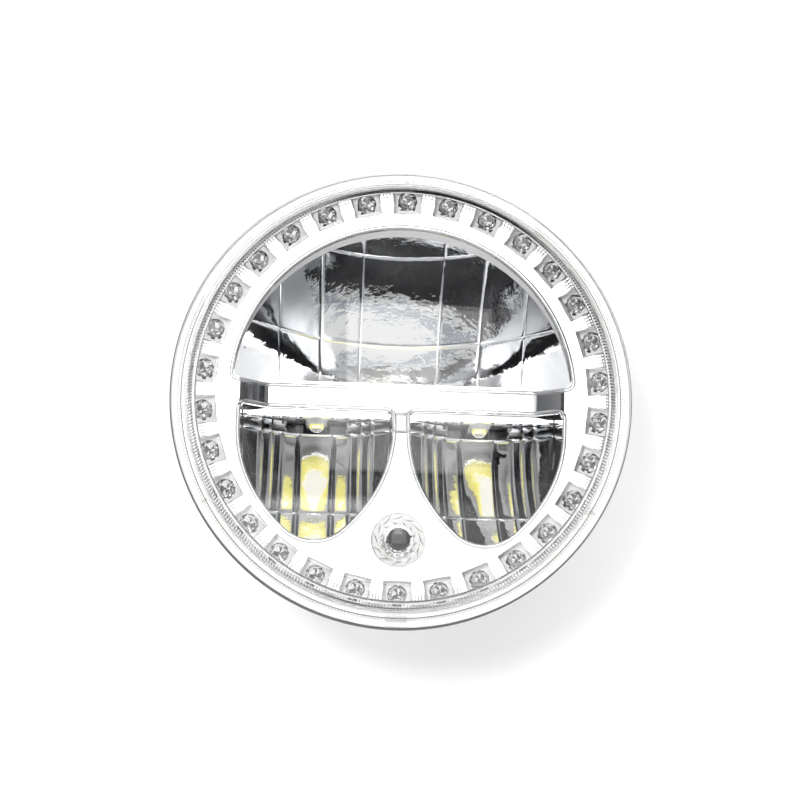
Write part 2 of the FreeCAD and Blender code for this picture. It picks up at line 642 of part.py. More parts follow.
def housing_casting(lamp):
    """Die-cast bowl with its rim, lens groove, ring shelf, driver collar, bosses and lugs."""
    s = lamp.sheet
    body = lamp.helper("housing_casting")
    sketch = sketch_on(body, "XY_Plane", "profile")
    corners = [
        (s.rim_radius, s.rim_front),
        (s.groove_outer_radius, s.rim_front),
        (s.groove_outer_radius, s.rim_front + s.groove_depth),
        (s.groove_inner_radius, s.rim_front + s.groove_depth),
        (s.groove_inner_radius, s.rim_front),
        (s.rim_bore_radius, s.rim_front),
        (s.rim_bore_radius, s.shelf),
        (s.mouth_radius, s.shelf),
        (s.bowl_shoulder_radius, s.bowl_shoulder_depth),
        (s.bowl_waist_radius, s.bowl_waist_depth),
        (s.bowl_floor_radius, s.bowl_floor_depth),
        (ZERO, s.bowl_floor_depth),
        (ZERO, s.floor_back),
        (s.collar_radius - s.collar_wall, s.floor_back),
        (s.collar_radius - s.collar_wall, s.collar_back),
        (s.collar_radius, s.collar_back),
        (s.collar_radius, s.floor_back),
        (s.bowl_floor_radius + s.housing_wall, s.floor_back),
        (s.bowl_waist_radius + s.housing_wall, s.bowl_waist_depth + s.floor_thickness / 2),
        (s.bowl_shoulder_radius + s.housing_wall, s.bowl_shoulder_depth),
        (s.mouth_radius + s.housing_wall, ZERO),
        (s.rim_radius, ZERO),
    ]
    outline(sketch, corners)
    revolve(body, sketch, "turned")
    screw_seats = sketch_facing(body, "cover_bosses", s.floor_back - s.floor_thickness / 2)
    circle(screw_seats, 0, s.cover_screw_radius, s.cover_boss_radius)
    boss = pad(body, screw_seats, "cover_boss", s.collar_height + s.floor_thickness / 2, backward=True)
    around(body, [boss], "cover_bosses_round", s.cover_screw_count)
    holes = sketch_facing(body, "cover_holes", s.collar_back)
    circle(holes, 0, s.cover_screw_radius, s.middle_screw_radius + s.fit_clearance)
    hole = pocket_to(body, holes, "cover_hole", s.middle_screw_length, backward=False)
    around(body, [hole], "cover_holes_round", s.cover_screw_count)
    standoffs = sketch_facing(body, "standoff_feet", s.floor_back - s.floor_thickness / 2)
    standoff_holes = sketch_facing(body, "standoff_holes", s.driver_front)
    for across in (-s.standoff_reach, s.standoff_reach):
        for up in (-s.standoff_reach, s.standoff_reach):
            circle(standoffs, across, up, s.standoff_radius)
            circle(standoff_holes, across, up, s.middle_screw_radius + s.fit_clearance)
    pad(body, standoffs, "standoffs", s.standoff_height + s.floor_thickness / 2, backward=True)
    pocket_to(body, standoff_holes, "standoff_bores", s.middle_screw_length - s.circuit_thickness, False)
    windows = sketch_facing(body, "ribbon_windows", s.floor_back)
    for across, up in ribbon_places(s):
        centred(windows, across, up, s.window_half_width, s.window_half_height)
    centred(windows, ZERO, -s.ring_window_drop, s.window_half_width, s.window_half_height)
    pocket_to(body, windows, "ribbon_windows_cut", s.floor_thickness, backward=False)
    plate_holes = sketch_facing(body, "plate_holes", s.bowl_floor_depth)
    for across, up in plate_screw_places(s):
        circle(plate_holes, across, up, s.large_screw_radius + s.fit_clearance)
    reach = s.large_screw_length - s.flange_thickness
    pocket_to(body, plate_holes, "plate_bores", reach, backward=True)
    lug = sketch_facing(body, "lug", -s.shelf_depth / 2)
    centred(lug, ZERO, s.lug_radius, s.lug_width / 2, s.lug_height / 2)
    raised = pad(body, lug, "lug_raised", s.lug_depth + s.shelf_depth / 2, backward=True)
    around(body, [raised], "lugs_round", s.lug_count)
    return body


def ribbon_places(s):
    """Where the three short ribbons pass the floor: left, middle and right."""
    return [
        (-s.bowl_opening_centre, -s.ribbon_height),
        (ZERO, s.ribbon_height),
        (s.bowl_opening_centre, -s.ribbon_height),
    ]


def plate_screw_places(s):
    """Four screws through the flange of the LED plate, between its ribbon windows."""
    across = s.bowl_opening_centre / 2 + s.large_screw_radius
    up = s.flange_half_height - s.large_screw_radius * 2
    return [(-across, -up), (-across, up), (across, -up), (across, up)]


def housing(lamp):
    """The casting with its upright cooling fins, cut to one envelope behind the rim."""
    s = lamp.sheet
    casting = housing_casting(lamp)
    lamp.doc.recompute()
    front = float(s.fin_front_depth)
    back = float(s.fin_back_depth)
    envelope = spun([
        (0.0, front),
        (float(s.fin_front_radius), front),
        (float(s.fin_middle_radius), float(s.fin_middle_depth)),
        (float(s.fin_back_radius), back),
        (0.0, back),
    ])
    cavity = spun([
        (0.0, float(s.shelf)),
        (float(s.mouth_radius), float(s.shelf)),
        (float(s.bowl_shoulder_radius), float(s.bowl_shoulder_depth)),
        (float(s.bowl_waist_radius), float(s.bowl_waist_depth)),
        (float(s.bowl_floor_radius), float(s.bowl_floor_depth)),
        (0.0, float(s.bowl_floor_depth)),
    ])
    chamber = disc(float(s.collar_radius - s.collar_wall / 2), float(s.bowl_floor_depth), back)
    half = float(s.fin_thickness) / 2
    pitch = float(s.fin_pitch)
    reach = float(s.fin_front_radius)
    steps = int((reach - half) / pitch)
    fins = []
    for index in range(-steps, steps + 1):
        middle = index * pitch
        fins.append(box(middle - half, middle + half, front, back, -reach, reach))
    fins = Part.makeCompound(fins).common(envelope)
    fins = fins.cut([cavity, chamber] + cover_screw_wells(s))
    lamp.feature("housing", casting.Shape.fuse(fins.Solids).removeSplitter())


def cover_screw_wells(s):
    """Room for the cover's screw ends, which the fins leave free."""
    wells = []
    for angle in round_angles(int(float(s.cover_screw_count))):
        across, up = at_clock(float(s.cover_screw_radius), angle)
        radius = float(s.cover_boss_radius)
        wells.append(disc(radius, float(s.floor_back), float(s.collar_back), across, up))
    return wells


def ring_board(lamp):
    """White ring-shaped board behind the small optics."""
    s = lamp.sheet
    body = lamp.body("ring_board")
    sketch = sketch_facing(body, "ring", s.ring_board_front)
    circle(sketch, 0, 0, s.rim_bore_radius - s.board_edge_clearance)
    circle(sketch, 0, 0, s.ring_inner_radius)
    pad(body, sketch, "sheet", s.circuit_thickness, backward=True)


def ring_leds(lamp):
    """One small LED under each of the ring's optics."""
    s = lamp.sheet
    half_width = float(s.ring_led_width) / 2
    half_height = float(s.ring_led_height) / 2
    radius = float(s.ring_radius)
    back = float(s.ring_board_front)
    front = back - float(s.ring_led_thickness)
    chips = []
    for angle in round_angles(int(float(s.ring_count))):
        chip = box(-half_width, half_width, front, back, radius - half_height, radius + half_height)
        chip.rotate(Vector(0, 0, 0), BACKWARD, angle)
        chips.append(chip)
    lamp.feature("ring_leds", Part.makeCompound(chips))


def gem(sides, rings, flat_front):
    """A cut stone: rings of corners from back to front, the last one turned by half a side."""
    levels = []
    last = len(rings) - 1
    for number, (radius, depth) in enumerate(rings):
        shift = 0.5 if number == last and flat_front else 0.0
        angles = [360.0 * (index + shift) / sides for index in range(sides)]
        places = [at_clock(radius, angle) for angle in angles]
        levels.append([Vector(across, depth, up) for across, up in places])
    faces = [Part.Face(Part.makePolygon(level + level[:1])) for level in (levels[0], levels[-1])]
    for number in range(last):
        behind = levels[number]
        ahead = levels[number + 1]
        for index in range(sides):
            after = (index + 1) % sides
            if number == last - 1 and flat_front:
                loops = [
                    [behind[index], behind[after], ahead[index]],
                    [behind[after], ahead[after], ahead[index]],
                ]
            else:
                loops = [[behind[index], behind[after], ahead[after], ahead[index]]]
            faces += [Part.Face(Part.makePolygon(loop + loop[:1])) for loop in loops]
    stone = Part.Solid(Part.Shell(faces))
    if stone.Volume < 0:
        stone.reverse()
    return stone


def ring_optics(lamp):
    """One clear moulding: a ring on two feet that carries the small cut-stone optics."""
    s = lamp.sheet
    inner = float(s.ring_inner_radius)
    outer = float(s.rim_bore_radius - s.carrier_edge_clearance)
    foot = float(s.carrier_foot_width)
    board = float(s.ring_board_front)
    back = float(s.carrier_back)
    front = float(s.carrier_front)
    carrier = spun([
        (inner, front),
        (outer, front),
        (outer, board),
        (outer - foot, board),
        (outer - foot, back),
        (inner + foot, back),
        (inner + foot, board),
        (inner, board),
    ])
    middle = (front + back) / 2
    widest = front - float(s.gem_rise)
    table = widest - float(s.gem_crown)
    rings = [
        (float(s.gem_foot_radius), middle),
        (float(s.gem_foot_radius), front),
        (float(s.gem_radius), widest),
        (float(s.gem_table_radius), table),
    ]
    stone = gem(int(float(s.gem_sides)), rings, flat_front=True)
    stone.translate(UPWARD * float(s.ring_radius))
    stones = []
    for angle in round_angles(int(float(s.ring_count))):
        copy = stone.copy()
        copy.rotate(Vector(0, 0, 0), BACKWARD, angle)
        stones.append(copy)
    lamp.feature("ring_optics", carrier.fuse(stones).removeSplitter())


def dome_wire(s, grow, base):
    """Outline of the upper opening, grown outward, with its straight edge at a given height."""
    radius = float(s.dome_opening_radius) + grow
    corner = float(s.dome_opening_corner)
    inner = radius - corner
    across = math.sqrt(inner * inner - (base + corner) ** 2)
    touch = Vector(across, base + corner, 0).normalize() * radius
    lean = math.atan2(base + corner, across)
    bend = Vector(math.cos((lean - math.pi / 2) / 2), math.sin((lean - math.pi / 2) / 2), 0) * corner
    middle = Vector(across, base + corner, 0)
    right = [Vector(across, base, 0), middle.add(bend), touch]
    left = [Vector(-point.x, point.y, 0) for point in reversed(right)]
    edges = [
        Part.Arc(*right).toShape(),
        Part.Arc(touch, Vector(0, radius, 0), left[0]).toShape(),
        Part.Arc(*left).toShape(),
        Part.LineSegment(left[2], right[0]).toShape(),
    ]
    return stand_up(Part.Wire(edges))


def bowl_wire(s, side, grow, top):
    """Outline of a lower opening on one side (1 right, -1 left), grown outward."""
    arcs = [
        (float(s.bowl_foot_radius) + grow, 0.0, float(s.bowl_foot_angle)),
        (float(s.bowl_flank_radius) + grow, float(s.bowl_foot_angle), float(s.bowl_flank_angle)),
        (float(s.bowl_shoulder_arc) + grow, float(s.bowl_flank_angle), 90.0),
    ]
    place = Vector(0, -float(s.bowl_opening_low) - grow, 0)
    half = []
    for radius, start, finish in arcs:
        centre = place.add(heading(start) * radius)
        middle = centre.sub(heading((start + finish) / 2) * radius)
        end = centre.sub(heading(finish) * radius)
        half.append((place, middle, end))
        place = end
    corner = float(s.bowl_opening_corner) + grow
    turn = Vector(place.x, -top - corner, 0)
    slant = corner * math.sqrt(0.5)
    crest = Vector(place.x - corner + slant, -top - corner + slant, 0)
    half.append((place, None, turn))
    half.append((turn, crest, Vector(place.x - corner, -top, 0)))
    other = [tuple(mirrored(point) for point in reversed(points)) for points in reversed(half)]
    ordered = half + [(half[-1][2], None, other[0][0])] + other
    edges = []
    for start, middle, end in ordered:
        if middle is None:
            edges.append(Part.LineSegment(start, end).toShape())
        else:
            edges.append(Part.Arc(start, middle, end).toShape())
    wire = Part.Wire(edges)
    wire.translate(Vector(side * float(s.bowl_opening_centre), 0, 0))
    return stand_up(wire)


def heading(angle):
    """Unit vector from a point of the lower outline towards the centre of its arc."""
    turn = math.radians(angle)
    return Vector(-math.sin(turn), math.cos(turn), 0)


def mirrored(point):
    """The same point on the other side of the middle line."""
    return None if point is None else Vector(-point.x, point.y, 0)


def stand_up(wire):
    """Turns a flat wire so that its second axis points up and it faces forward."""
    wire.rotate(Vector(0, 0, 0), Vector(1, 0, 0), 90)
    return wire


def bead(wire, depth, radius):
    """Half-round bead along a closed outline on a forward face, with its back half sunk."""
    path = wire.copy()
    path.translate(BACKWARD * depth)
    start = path.Edges[0].valueAt(path.Edges[0].FirstParameter)
    direction = path.Edges[0].tangentAt(path.Edges[0].FirstParameter)
    profile = Part.Wire(Part.makeCircle(radius, start, direction))
    return path.makePipeShell([profile], True, True)


def bezel_disc(lamp):
    """Round face of the bezel with its lip and the windows of the small optics."""
    s = lamp.sheet
    body = lamp.helper("bezel_disc")
    sketch = sketch_on(body, "XY_Plane", "profile")
    lip_back = s.carrier_front - s.bezel_seat_clearance
    edge = s.bezel_wall / 2
    corners = [
        (ZERO, s.bezel_face),
        (s.bezel_radius - s.bezel_wall * 2, s.bezel_face),
        (s.bezel_radius, s.bezel_face + edge),
        (s.bezel_radius, lip_back),
        (s.bezel_radius - s.bezel_lip_width, lip_back),
        (s.bezel_radius - s.bezel_lip_width, s.bezel_back),
        (ZERO, s.bezel_back),
    ]
    outline(sketch, corners)
    revolve(body, sketch, "turned")
    notch = sketch_facing(body, "notch", s.bezel_back)
    rectangle(notch, -s.notch_width / 2, s.notch_width / 2, s.ring_inner_radius, s.rim_radius)
    cut = pocket(body, notch, "notch_cut")
    around(body, [cut], "notches_round", s.ring_count)
    position = sketch_facing(body, "position_hole", s.bezel_back)
    circle(position, ZERO, -s.position_drop, s.position_bore_radius)
    pocket(body, position, "position_hole_cut")
    return body


def bar_pieces(s):
    """Centre bar behind the bezel's face: its flat, the ramps at its ends and the foot of the web."""
    half = float(s.bar_half_height + s.bead_radius)
    flat = float(s.bar_half_width)
    end = float(s.ramp_end)
    face = float(s.bar_face)
    wall = float(s.bezel_wall)
    rim = float(s.bezel_face)
    pieces = [box(-flat, flat, face, face + wall, -half, half)]
    beyond = end + wall
    for side in (-1, 1):
        corners = [
            Vector(side * flat, face, -half),
            Vector(side * end, rim, -half),
            Vector(side * beyond, rim, -half),
            Vector(side * beyond, rim + wall, -half),
            Vector(side * (end + wall / 2), rim + wall, -half),
            Vector(side * flat, face + wall, -half),
        ]
        ramp = Part.Face(Part.makePolygon(corners + corners[:1]))
        pieces.append(ramp.extrude(UPWARD * (2 * half)))
    web = web_half_width(s)
    drop = float(s.bar_depth)
    corners = [
        Vector(-web, face, -half),
        Vector(-web, face + wall, -half),
        Vector(-web, rim + wall, -half - drop),
        Vector(-web, rim, -half - drop),
    ]
    foot = Part.Face(Part.makePolygon(corners + corners[:1]))
    pieces.append(foot.extrude(Vector(2 * web, 0, 0)))
    return pieces


def web_half_width(s):
    """Half the width of the web between the two lower openings at its top."""
    return bowl_wire(s, 1, 0.0, float(s.bowl_opening_top)).BoundBox.XMin


def bar_beads(s):
    """Half-round beads along the bar's upper and lower edges, up the ramps at its ends."""
    half = float(s.bar_half_height + s.bead_radius)
    face = float(s.bar_face)
    flat = float(s.bar_half_width)
    end = float(s.ramp_end)
    rim = float(s.bezel_face)
    radius = float(s.bead_radius)
    beads = []
    for up in (-half + radius, half - radius):
        places = [(-end, rim), (-flat, face), (flat, face), (end, rim)]
        points = [Vector(across, depth, up) for across, depth in places]
        for start, finish in zip(points, points[1:]):
            run = finish.sub(start)
            beads.append(Part.makeCylinder(radius, run.Length, start, run))
        beads += [Part.makeSphere(radius, point) for point in points[1:3]]
    return beads


def bezel_boss_places(s):
    """Bosses behind the bezel that take its screws: four round the dome, then two at each bowl."""
    between = (float(s.dome_opening_radius) + float(s.ring_inner_radius)) / 2 + float(s.bezel_boss_shift)
    places = [at_clock(between, angle) for angle in DOME_SCREW_ANGLES]
    for side in (-1, 1):
        places.append(at_clock(between, side * FLANK_SCREW_ANGLE))
        across = side * float(s.position_bore_radius + s.bezel_boss_inset)
        places.append((across, -float(s.position_drop + s.bezel_boss_drop)))
    return places


def bezel(lamp):
    """Chromed moulding: toothed ring, three openings with beads, recessed centre bar and web."""
    s = lamp.sheet
    disc_body = bezel_disc(lamp)
    lamp.doc.recompute()
    rim = float(s.bezel_face)
    back = float(s.bezel_back)
    half = float(s.bar_half_height + s.bead_radius)
    top = float(s.bowl_opening_top)
    base = float(s.dome_opening_base)
    end = float(s.ramp_end)
    outlines = [dome_wire(s, 0.0, base), bowl_wire(s, 1, 0.0, top), bowl_wire(s, -1, 0.0, top)]
    near = rim - float(s.cut_margin)
    far = back + float(s.cut_margin)
    openings = [prism([wire], near, far) for wire in outlines]
    recess = box(-end, end, near, far, -top, base)
    drop = float(s.bar_depth)
    web = web_half_width(s)
    wide = web + float(s.bowl_opening_corner)
    web_recess = box(-wide, wide, near, far, -half - drop, -half)
    face = disc_body.Shape.cut(openings + [recess, web_recess])
    radius = float(s.bead_radius)
    loops = [
        bead(dome_wire(s, radius, base - radius), rim, radius),
        bead(bowl_wire(s, 1, radius, top - radius), rim, radius),
        bead(bowl_wire(s, -1, radius, top - radius), rim, radius),
    ]
    clear = [box(-end, end, near, far, -half - radius, half + radius), web_recess]
    loops = [loop.cut(clear) for loop in loops]
    bosses = []
    skin = float(s.bezel_boss_skin)
    for across, up in bezel_boss_places(s):
        boss = disc(2 * float(s.small_screw_radius), back, boss_back(s), across, up)
        hole = disc(float(s.small_screw_radius + s.fit_clearance), back + skin, boss_back(s), across, up)
        bosses.append(boss.cut(hole))
    shape = face.fuse(bar_pieces(s) + bar_beads(s) + loops + bosses).removeSplitter()
    lamp.feature("bezel", shape)


def paraboloid(vertex, focal, reach, across, up):
    """The room in front of a dish: a parabola turned round an axis parallel to the lamp's."""
    front = vertex - reach * reach / (4 * focal)
    curve = Part.BezierCurve()
    curve.setPoles([Vector(0, vertex, 0), Vector(reach / 2, vertex, 0), Vector(reach, front, 0)])
    rim = Vector(reach, front, 0)
    edges = [
        curve.toShape(),
        Part.LineSegment(rim, Vector(0, front, 0)).toShape(),
        Part.LineSegment(Vector(0, front, 0), Vector(0, vertex, 0)).toShape(),
    ]
    room = Part.Face(Part.Wire(edges)).revolve(Vector(0, 0, 0), BACKWARD, 360)
    room.translate(Vector(across, 0, up))
    return room


def stepped_room(inside, vertex, focal, reach, across, up, columns, rows, steps):
    """The hollow of a dish, cut in columns and rows that step back by turns."""
    column_step, row_step = steps
    deepest = vertex + column_step + row_step
    cells = []
    for column, (left, right) in enumerate(zip(columns, columns[1:])):
        for row, (low, high) in enumerate(zip(rows, rows[1:])):
            shift = column_step * (column % 2) + row_step * (row % 2)
            room = paraboloid(vertex + shift, focal, reach, across, up)
            cell = box(left, right, inside.BoundBox.YMin, deepest, low, high)
            cells.append(room.common(cell).common(inside))
    return [cell for cell in cells if cell.Volume > 0]


def upper_reflector(lamp):
    """Half dish over the plate, with a grid of stepped facets, a ribbon slot and two screw ears."""
    s = lamp.sheet
    wall = float(s.reflector_wall)
    inset = float(s.reflector_inset)
    gap = float(s.reflector_gap)
    front = float(s.reflector_front)
    vertex = float(s.upper_vertex)
    focal = float(s.upper_focal)
    axis = float(s.upper_axis_height)
    foot = float(s.plate_half) + gap
    margin = float(s.cut_margin)
    deep = vertex + margin
    reach = float(s.dome_opening_radius) + margin
    hollow = prism([dome_wire(s, inset, 0.0)], front - margin, deep)
    skin = prism([dome_wire(s, inset + wall, 0.0)], front, deep)
    shell = skin.common(paraboloid(vertex + float(s.dish_wall), focal, reach + wall, 0, axis))
    flange = prism([dome_wire(s, inset + wall + float(s.reflector_flange) / 2, 0.0)], front, front + wall)
    ears = bezel_ears(s, bezel_boss_places(s)[:4], 0.0, 0.0)
    for side in (-1, 1):
        across, depth = upper_ear_place(s, side)
        ears.append(ear(s, across, depth, foot, foot + float(s.ear_thickness), -side))
    pitch = float(s.column_pitch)
    edge = 2 * float(s.dome_opening_radius)
    columns = [-edge, -3 * pitch, -2 * pitch, -pitch, pitch, 2 * pitch, 3 * pitch, edge]
    base = float(s.row_base)
    rows = [-edge, base, base + float(s.row_pitch), edge]
    steps = (float(s.column_step), float(s.row_step))
    rooms = stepped_room(hollow, vertex, focal, reach, 0, axis, columns, rows, steps)
    slot_half = float(s.wire_slot_width) / 2
    slot = box(-slot_half, slot_half, float(s.upper_focus), deep, foot, foot + float(s.wire_slot_height))
    below = box(-edge, edge, front - margin, deep + margin, -edge, foot)
    shape = shell.fuse([flange] + ears).cut(rooms + [slot, below] + bezel_boss_room(s) + bar_room(s))
    shape = shape.fuse(hood(s, 0.0, foot, 1, front_half_width(s))).removeSplitter()
    lamp.feature("upper_reflector", largest(shape))


def front_half_width(s):
    """Half the width between the side walls of the upper reflector at the hood strip."""
    radius = float(s.dome_opening_radius + s.reflector_inset)
    vertex = float(s.upper_vertex)
    back = float(s.hood_front + s.hood_depth)
    dish = math.sqrt(4 * float(s.upper_focal) * (vertex - back))
    return min(radius, dish) + float(s.reflector_wall) / 2


def hood(s, across, foot, side, half_width):
    """Stepped strip that hides the plate's front edge, bridging a reflector's side walls."""
    front = float(s.hood_front)
    depth = float(s.hood_depth)
    step = float(s.hood_step)
    left = across - half_width
    right = across + half_width
    layers = [(front, front + depth, 0.0, step), (front + depth / 2, front + depth, step, 2 * step)]
    strips = []
    for start, end, low, high in layers:
        levels = sorted((side * (foot + low), side * (foot + high)))
        strips.append(box(left, right, start, end, levels[0], levels[1]))
    return strips


def upper_ear_place(s, side):
    """Middle of an upper ear: beside the dish, over the plate."""
    depth = float(s.upper_focus) - float(s.upper_ear_shift)
    return side * (dish_reach(s, s.upper_vertex, s.upper_focal, depth) + float(s.upper_ear_stand)), depth


def lower_ear_place(s, side):
    """Middle of a lower ear: between the two bowls, under the plate."""
    depth = float(s.lower_vertex) - float(s.lower_ear_shift)
    edge = float(s.bowl_opening_centre) - dish_reach(s, s.lower_vertex, s.lower_focal, depth)
    return side * (edge - float(s.lower_ear_stand)), depth


def ear(s, across, depth, low, high, inward):
    """A round-ended tongue that lies flat, with a screw hole."""
    radius = float(s.ear_radius)
    height = high - low
    end = Part.makeCylinder(radius, height, Vector(across, depth, low), UPWARD)
    left, right = sorted((across, across + inward * float(s.ear_arm)))
    arm = box(left, right, depth - radius, depth + radius, low, high)
    bore = float(s.middle_screw_radius + s.fit_clearance)
    hole = Part.makeCylinder(bore, height, Vector(across, depth, low), UPWARD)
    return end.fuse(arm).cut(hole)


def boss_back(s):
    """Back ends of the bezel's bosses."""
    return float(s.bezel_back + s.small_screw_length + s.bezel_boss_skin)


def bezel_boss_room(s):
    """Room round the bezel's bosses, which the reflectors leave free."""
    back = float(s.bezel_back)
    radius = 2 * float(s.small_screw_radius) + float(s.fit_clearance)
    front = back - float(s.bezel_wall)
    return [disc(radius, front, boss_back(s), across, up) for across, up in bezel_boss_places(s)]


def bezel_ears(s, places, across, up):
    """Small ears off a reflector, each towards the middle (across, up), for the bezel's screws."""
    start = boss_back(s)
    finish = start + float(s.reflector_wall)
    radius = 2 * float(s.small_screw_radius) + 2 * float(s.fit_clearance)
    bore = float(s.small_screw_radius + s.fit_clearance)
    ears = []
    for ear_across, ear_up in places:
        run = Vector(across - ear_across, 0, up - ear_up).normalize() * float(s.bezel_ear_reach)
        sideways = Vector(run.z, 0, -run.x).normalize() * radius
        middle = Vector(ear_across, start, ear_up)
        near = [middle.add(sideways), middle.sub(sideways)]
        far = [point.add(run) for point in reversed(near)]
        loop = near + far + near[:1]
        arm = Part.Face(Part.makePolygon(loop)).extrude(BACKWARD * (finish - start))
        eye = disc(radius, start, finish, ear_across, ear_up)
        ears.append(eye.fuse(arm).cut(disc(bore, start, finish, ear_across, ear_up)))
    return ears


def bar_room(s):
    """Room for the bezel's bar, ramps and web foot, which the reflectors leave free."""
    gap = float(s.reflector_gap)
    half = float(s.bar_half_height + s.bead_radius) + gap
    end = float(s.ramp_end + s.bezel_wall) + gap
    front = float(s.bezel_face)
    wall = float(s.bezel_wall) + gap
    back = float(s.bar_face) + wall
    web = web_half_width(s) + gap
    drop = float(s.bar_depth)
    corners = [
        Vector(-web, front, -half),
        Vector(-web, back, -half),
        Vector(-web, front + wall, -half - drop),
        Vector(-web, front, -half - drop),
    ]
    foot = Part.Face(Part.makePolygon(corners + corners[:1])).extrude(Vector(2 * web, 0, 0))
    return [box(-end, end, front, back, -half, half), foot]


def dish_reach(s, vertex, focal, depth):
    """How far the back of a dish stands from its axis at a depth."""
    back = float(vertex + s.dish_wall)
    return math.sqrt(4 * float(focal) * (back - depth))


def largest(shape):
    """The biggest solid of a shape, without slivers that a cut left behind."""
    return max(shape.Solids, key=lambda solid: solid.Volume)


def lower_reflector(lamp, name, side):
    """Half bowl under the plate, with upright flutes, a cross step, a ribbon slot and an ear."""
    s = lamp.sheet
    wall = float(s.reflector_wall)
    inset = float(s.reflector_inset)
    front = float(s.reflector_front)
    vertex = float(s.lower_vertex)
    focal = float(s.lower_focal)
    axis = -float(s.lower_axis_height)
    foot = float(s.plate_half + s.reflector_gap)
    across = side * float(s.bowl_opening_centre)
    margin = float(s.cut_margin)
    deep = vertex + margin
    reach = float(s.bowl_opening_low) + margin
    hollow = prism([bowl_wire(s, side, inset, 0.0)], front - margin, deep)
    skin = prism([bowl_wire(s, side, inset + wall, 0.0)], front, deep)
    shell = skin.common(paraboloid(vertex + float(s.dish_wall), focal, reach + wall, across, axis))
    ear_across, ear_depth = lower_ear_place(s, side)
    tongue = ear(s, ear_across, ear_depth, -foot - float(s.ear_thickness), -foot, side)
    bosses = bezel_boss_places(s)[4:6] if side < 0 else bezel_boss_places(s)[6:]
    ears = [tongue] + bezel_ears(s, bosses, across, -float(s.bowl_opening_low) / 2)
    edge = 2 * float(s.bowl_opening_low)
    places = [float(place) for place in (s.flute_wide, s.flute_middle, s.flute_narrow, s.flute_last)]
    columns = [across - place for place in reversed(places)] + [across + place for place in places]
    columns = [-edge] + columns + [edge]
    rows = [-edge, -float(s.lower_row), edge]
    steps = (float(s.column_step), float(s.row_step))
    rooms = stepped_room(hollow, vertex, focal, reach, across, axis, columns, rows, steps)
    slot_half = float(s.wire_slot_width) / 2
    slot_low = -foot - float(s.wire_slot_height)
    slot = box(across - slot_half, across + slot_half, float(s.lower_focus), deep, slot_low, -foot)
    above = box(-edge, edge, front - margin, deep + margin, -foot, edge)
    shape = shell.fuse(ears).cut(rooms + [slot, above] + bezel_boss_room(s) + bar_room(s))
    half_width = float(s.bowl_opening_centre) - web_half_width(s) + inset + wall / 2
    shape = shape.fuse(hood(s, across, foot, -1, half_width)).removeSplitter()
    lamp.feature(name, largest(shape))


def led_plate(lamp):
    """Aluminium plate between the reflectors: it carries the main LEDs and leads their heat back."""
    s = lamp.sheet
    body = lamp.body("led_plate")
    sketch = sketch_on(body, "XY_Plane", "outline")
    corners = [
        (-s.plate_front_half, s.plate_front),
        (s.plate_front_half, s.plate_front),
        (s.plate_front_half, s.plate_bend_depth),
        (s.plate_back_half, s.plate_back),
        (-s.plate_back_half, s.plate_back),
        (-s.plate_front_half, s.plate_bend_depth),
    ]
    outline(sketch, corners)
    pad(body, sketch, "slab", s.plate_half * 2, both=True)
    upright = sketch_facing(body, "flange_outline", s.plate_back)
    centred(upright, ZERO, ZERO, s.flange_half_width, s.flange_half_height)
    pad(body, upright, "flange", s.flange_thickness, backward=True)
    openings = sketch_facing(body, "flange_openings", s.plate_back)
    for across, up in ribbon_places(s):
        near = s.plate_half if float(up) > 0 else -s.plate_half
        far = up + s.window_half_height if float(up) > 0 else up - s.window_half_height
        low, high = (near, far) if float(up) > 0 else (far, near)
        rectangle(openings, across - s.window_half_width, across + s.window_half_width, low, high)
    for across, up in plate_screw_places(s):
        circle(openings, across, up, s.large_screw_radius + s.fit_clearance)
    pocket_to(body, openings, "flange_openings_cut", s.flange_thickness, backward=True)
    holes = sketch_on(body, "XY_Plane", "screw_holes")
    for across, depth in plate_thread_places(s):
        circle(holes, as_size(across), as_size(depth), s.middle_screw_radius + s.fit_clearance)
    for across, depth in board_screw_places(s):
        circle(holes, as_size(across), as_size(depth), s.small_screw_radius + s.fit_clearance)
    pocket(body, holes, "screw_holes_cut")


def plate_thread_places(s):
    """Threads in the plate for the reflectors' screws."""
    places = [upper_ear_place(s, side) for side in (-1, 1)]
    return places + [lower_ear_place(s, side) for side in (-1, 1)]


def board_screw_places(s):
    """Two screws at the front corners of each LED board, from left to right."""
    half = float(s.board_width / 2 - s.board_screw_inset)
    depth = float(s.board_front + s.board_screw_inset)
    places = []
    for middle in (-float(s.bowl_opening_centre), 0.0, float(s.bowl_opening_centre)):
        places += [(middle - half, depth), (middle + half, depth)]
    return places


def board_centres(s):
    """Name, middle and side (1 above the plate, -1 below) of each main LED board."""
    centre = s.bowl_opening_centre
    return [("upper", ZERO, 1), ("lower_left", -centre, -1), ("lower_right", centre, -1)]


def led_boards(lamp):
    """Three white boards that carry the main LEDs on the plate."""
    s = lamp.sheet
    for name, centre, side in board_centres(s):
        body = lamp.body(f"{name}_led_board")
        level = s.board_foot if side > 0 else -s.board_top
        sketch = sketch_on(body, "XY_Plane", "outline", level)
        rectangle(sketch, centre - s.board_width / 2, centre + s.board_width / 2, s.board_front, s.board_back)
        for across, depth in board_screw_places(s):
            if abs(across - float(centre)) < float(s.board_width) / 2:
                circle(sketch, as_size(across), as_size(depth), s.small_screw_radius + s.fit_clearance)
        pad(body, sketch, "sheet", s.circuit_thickness)


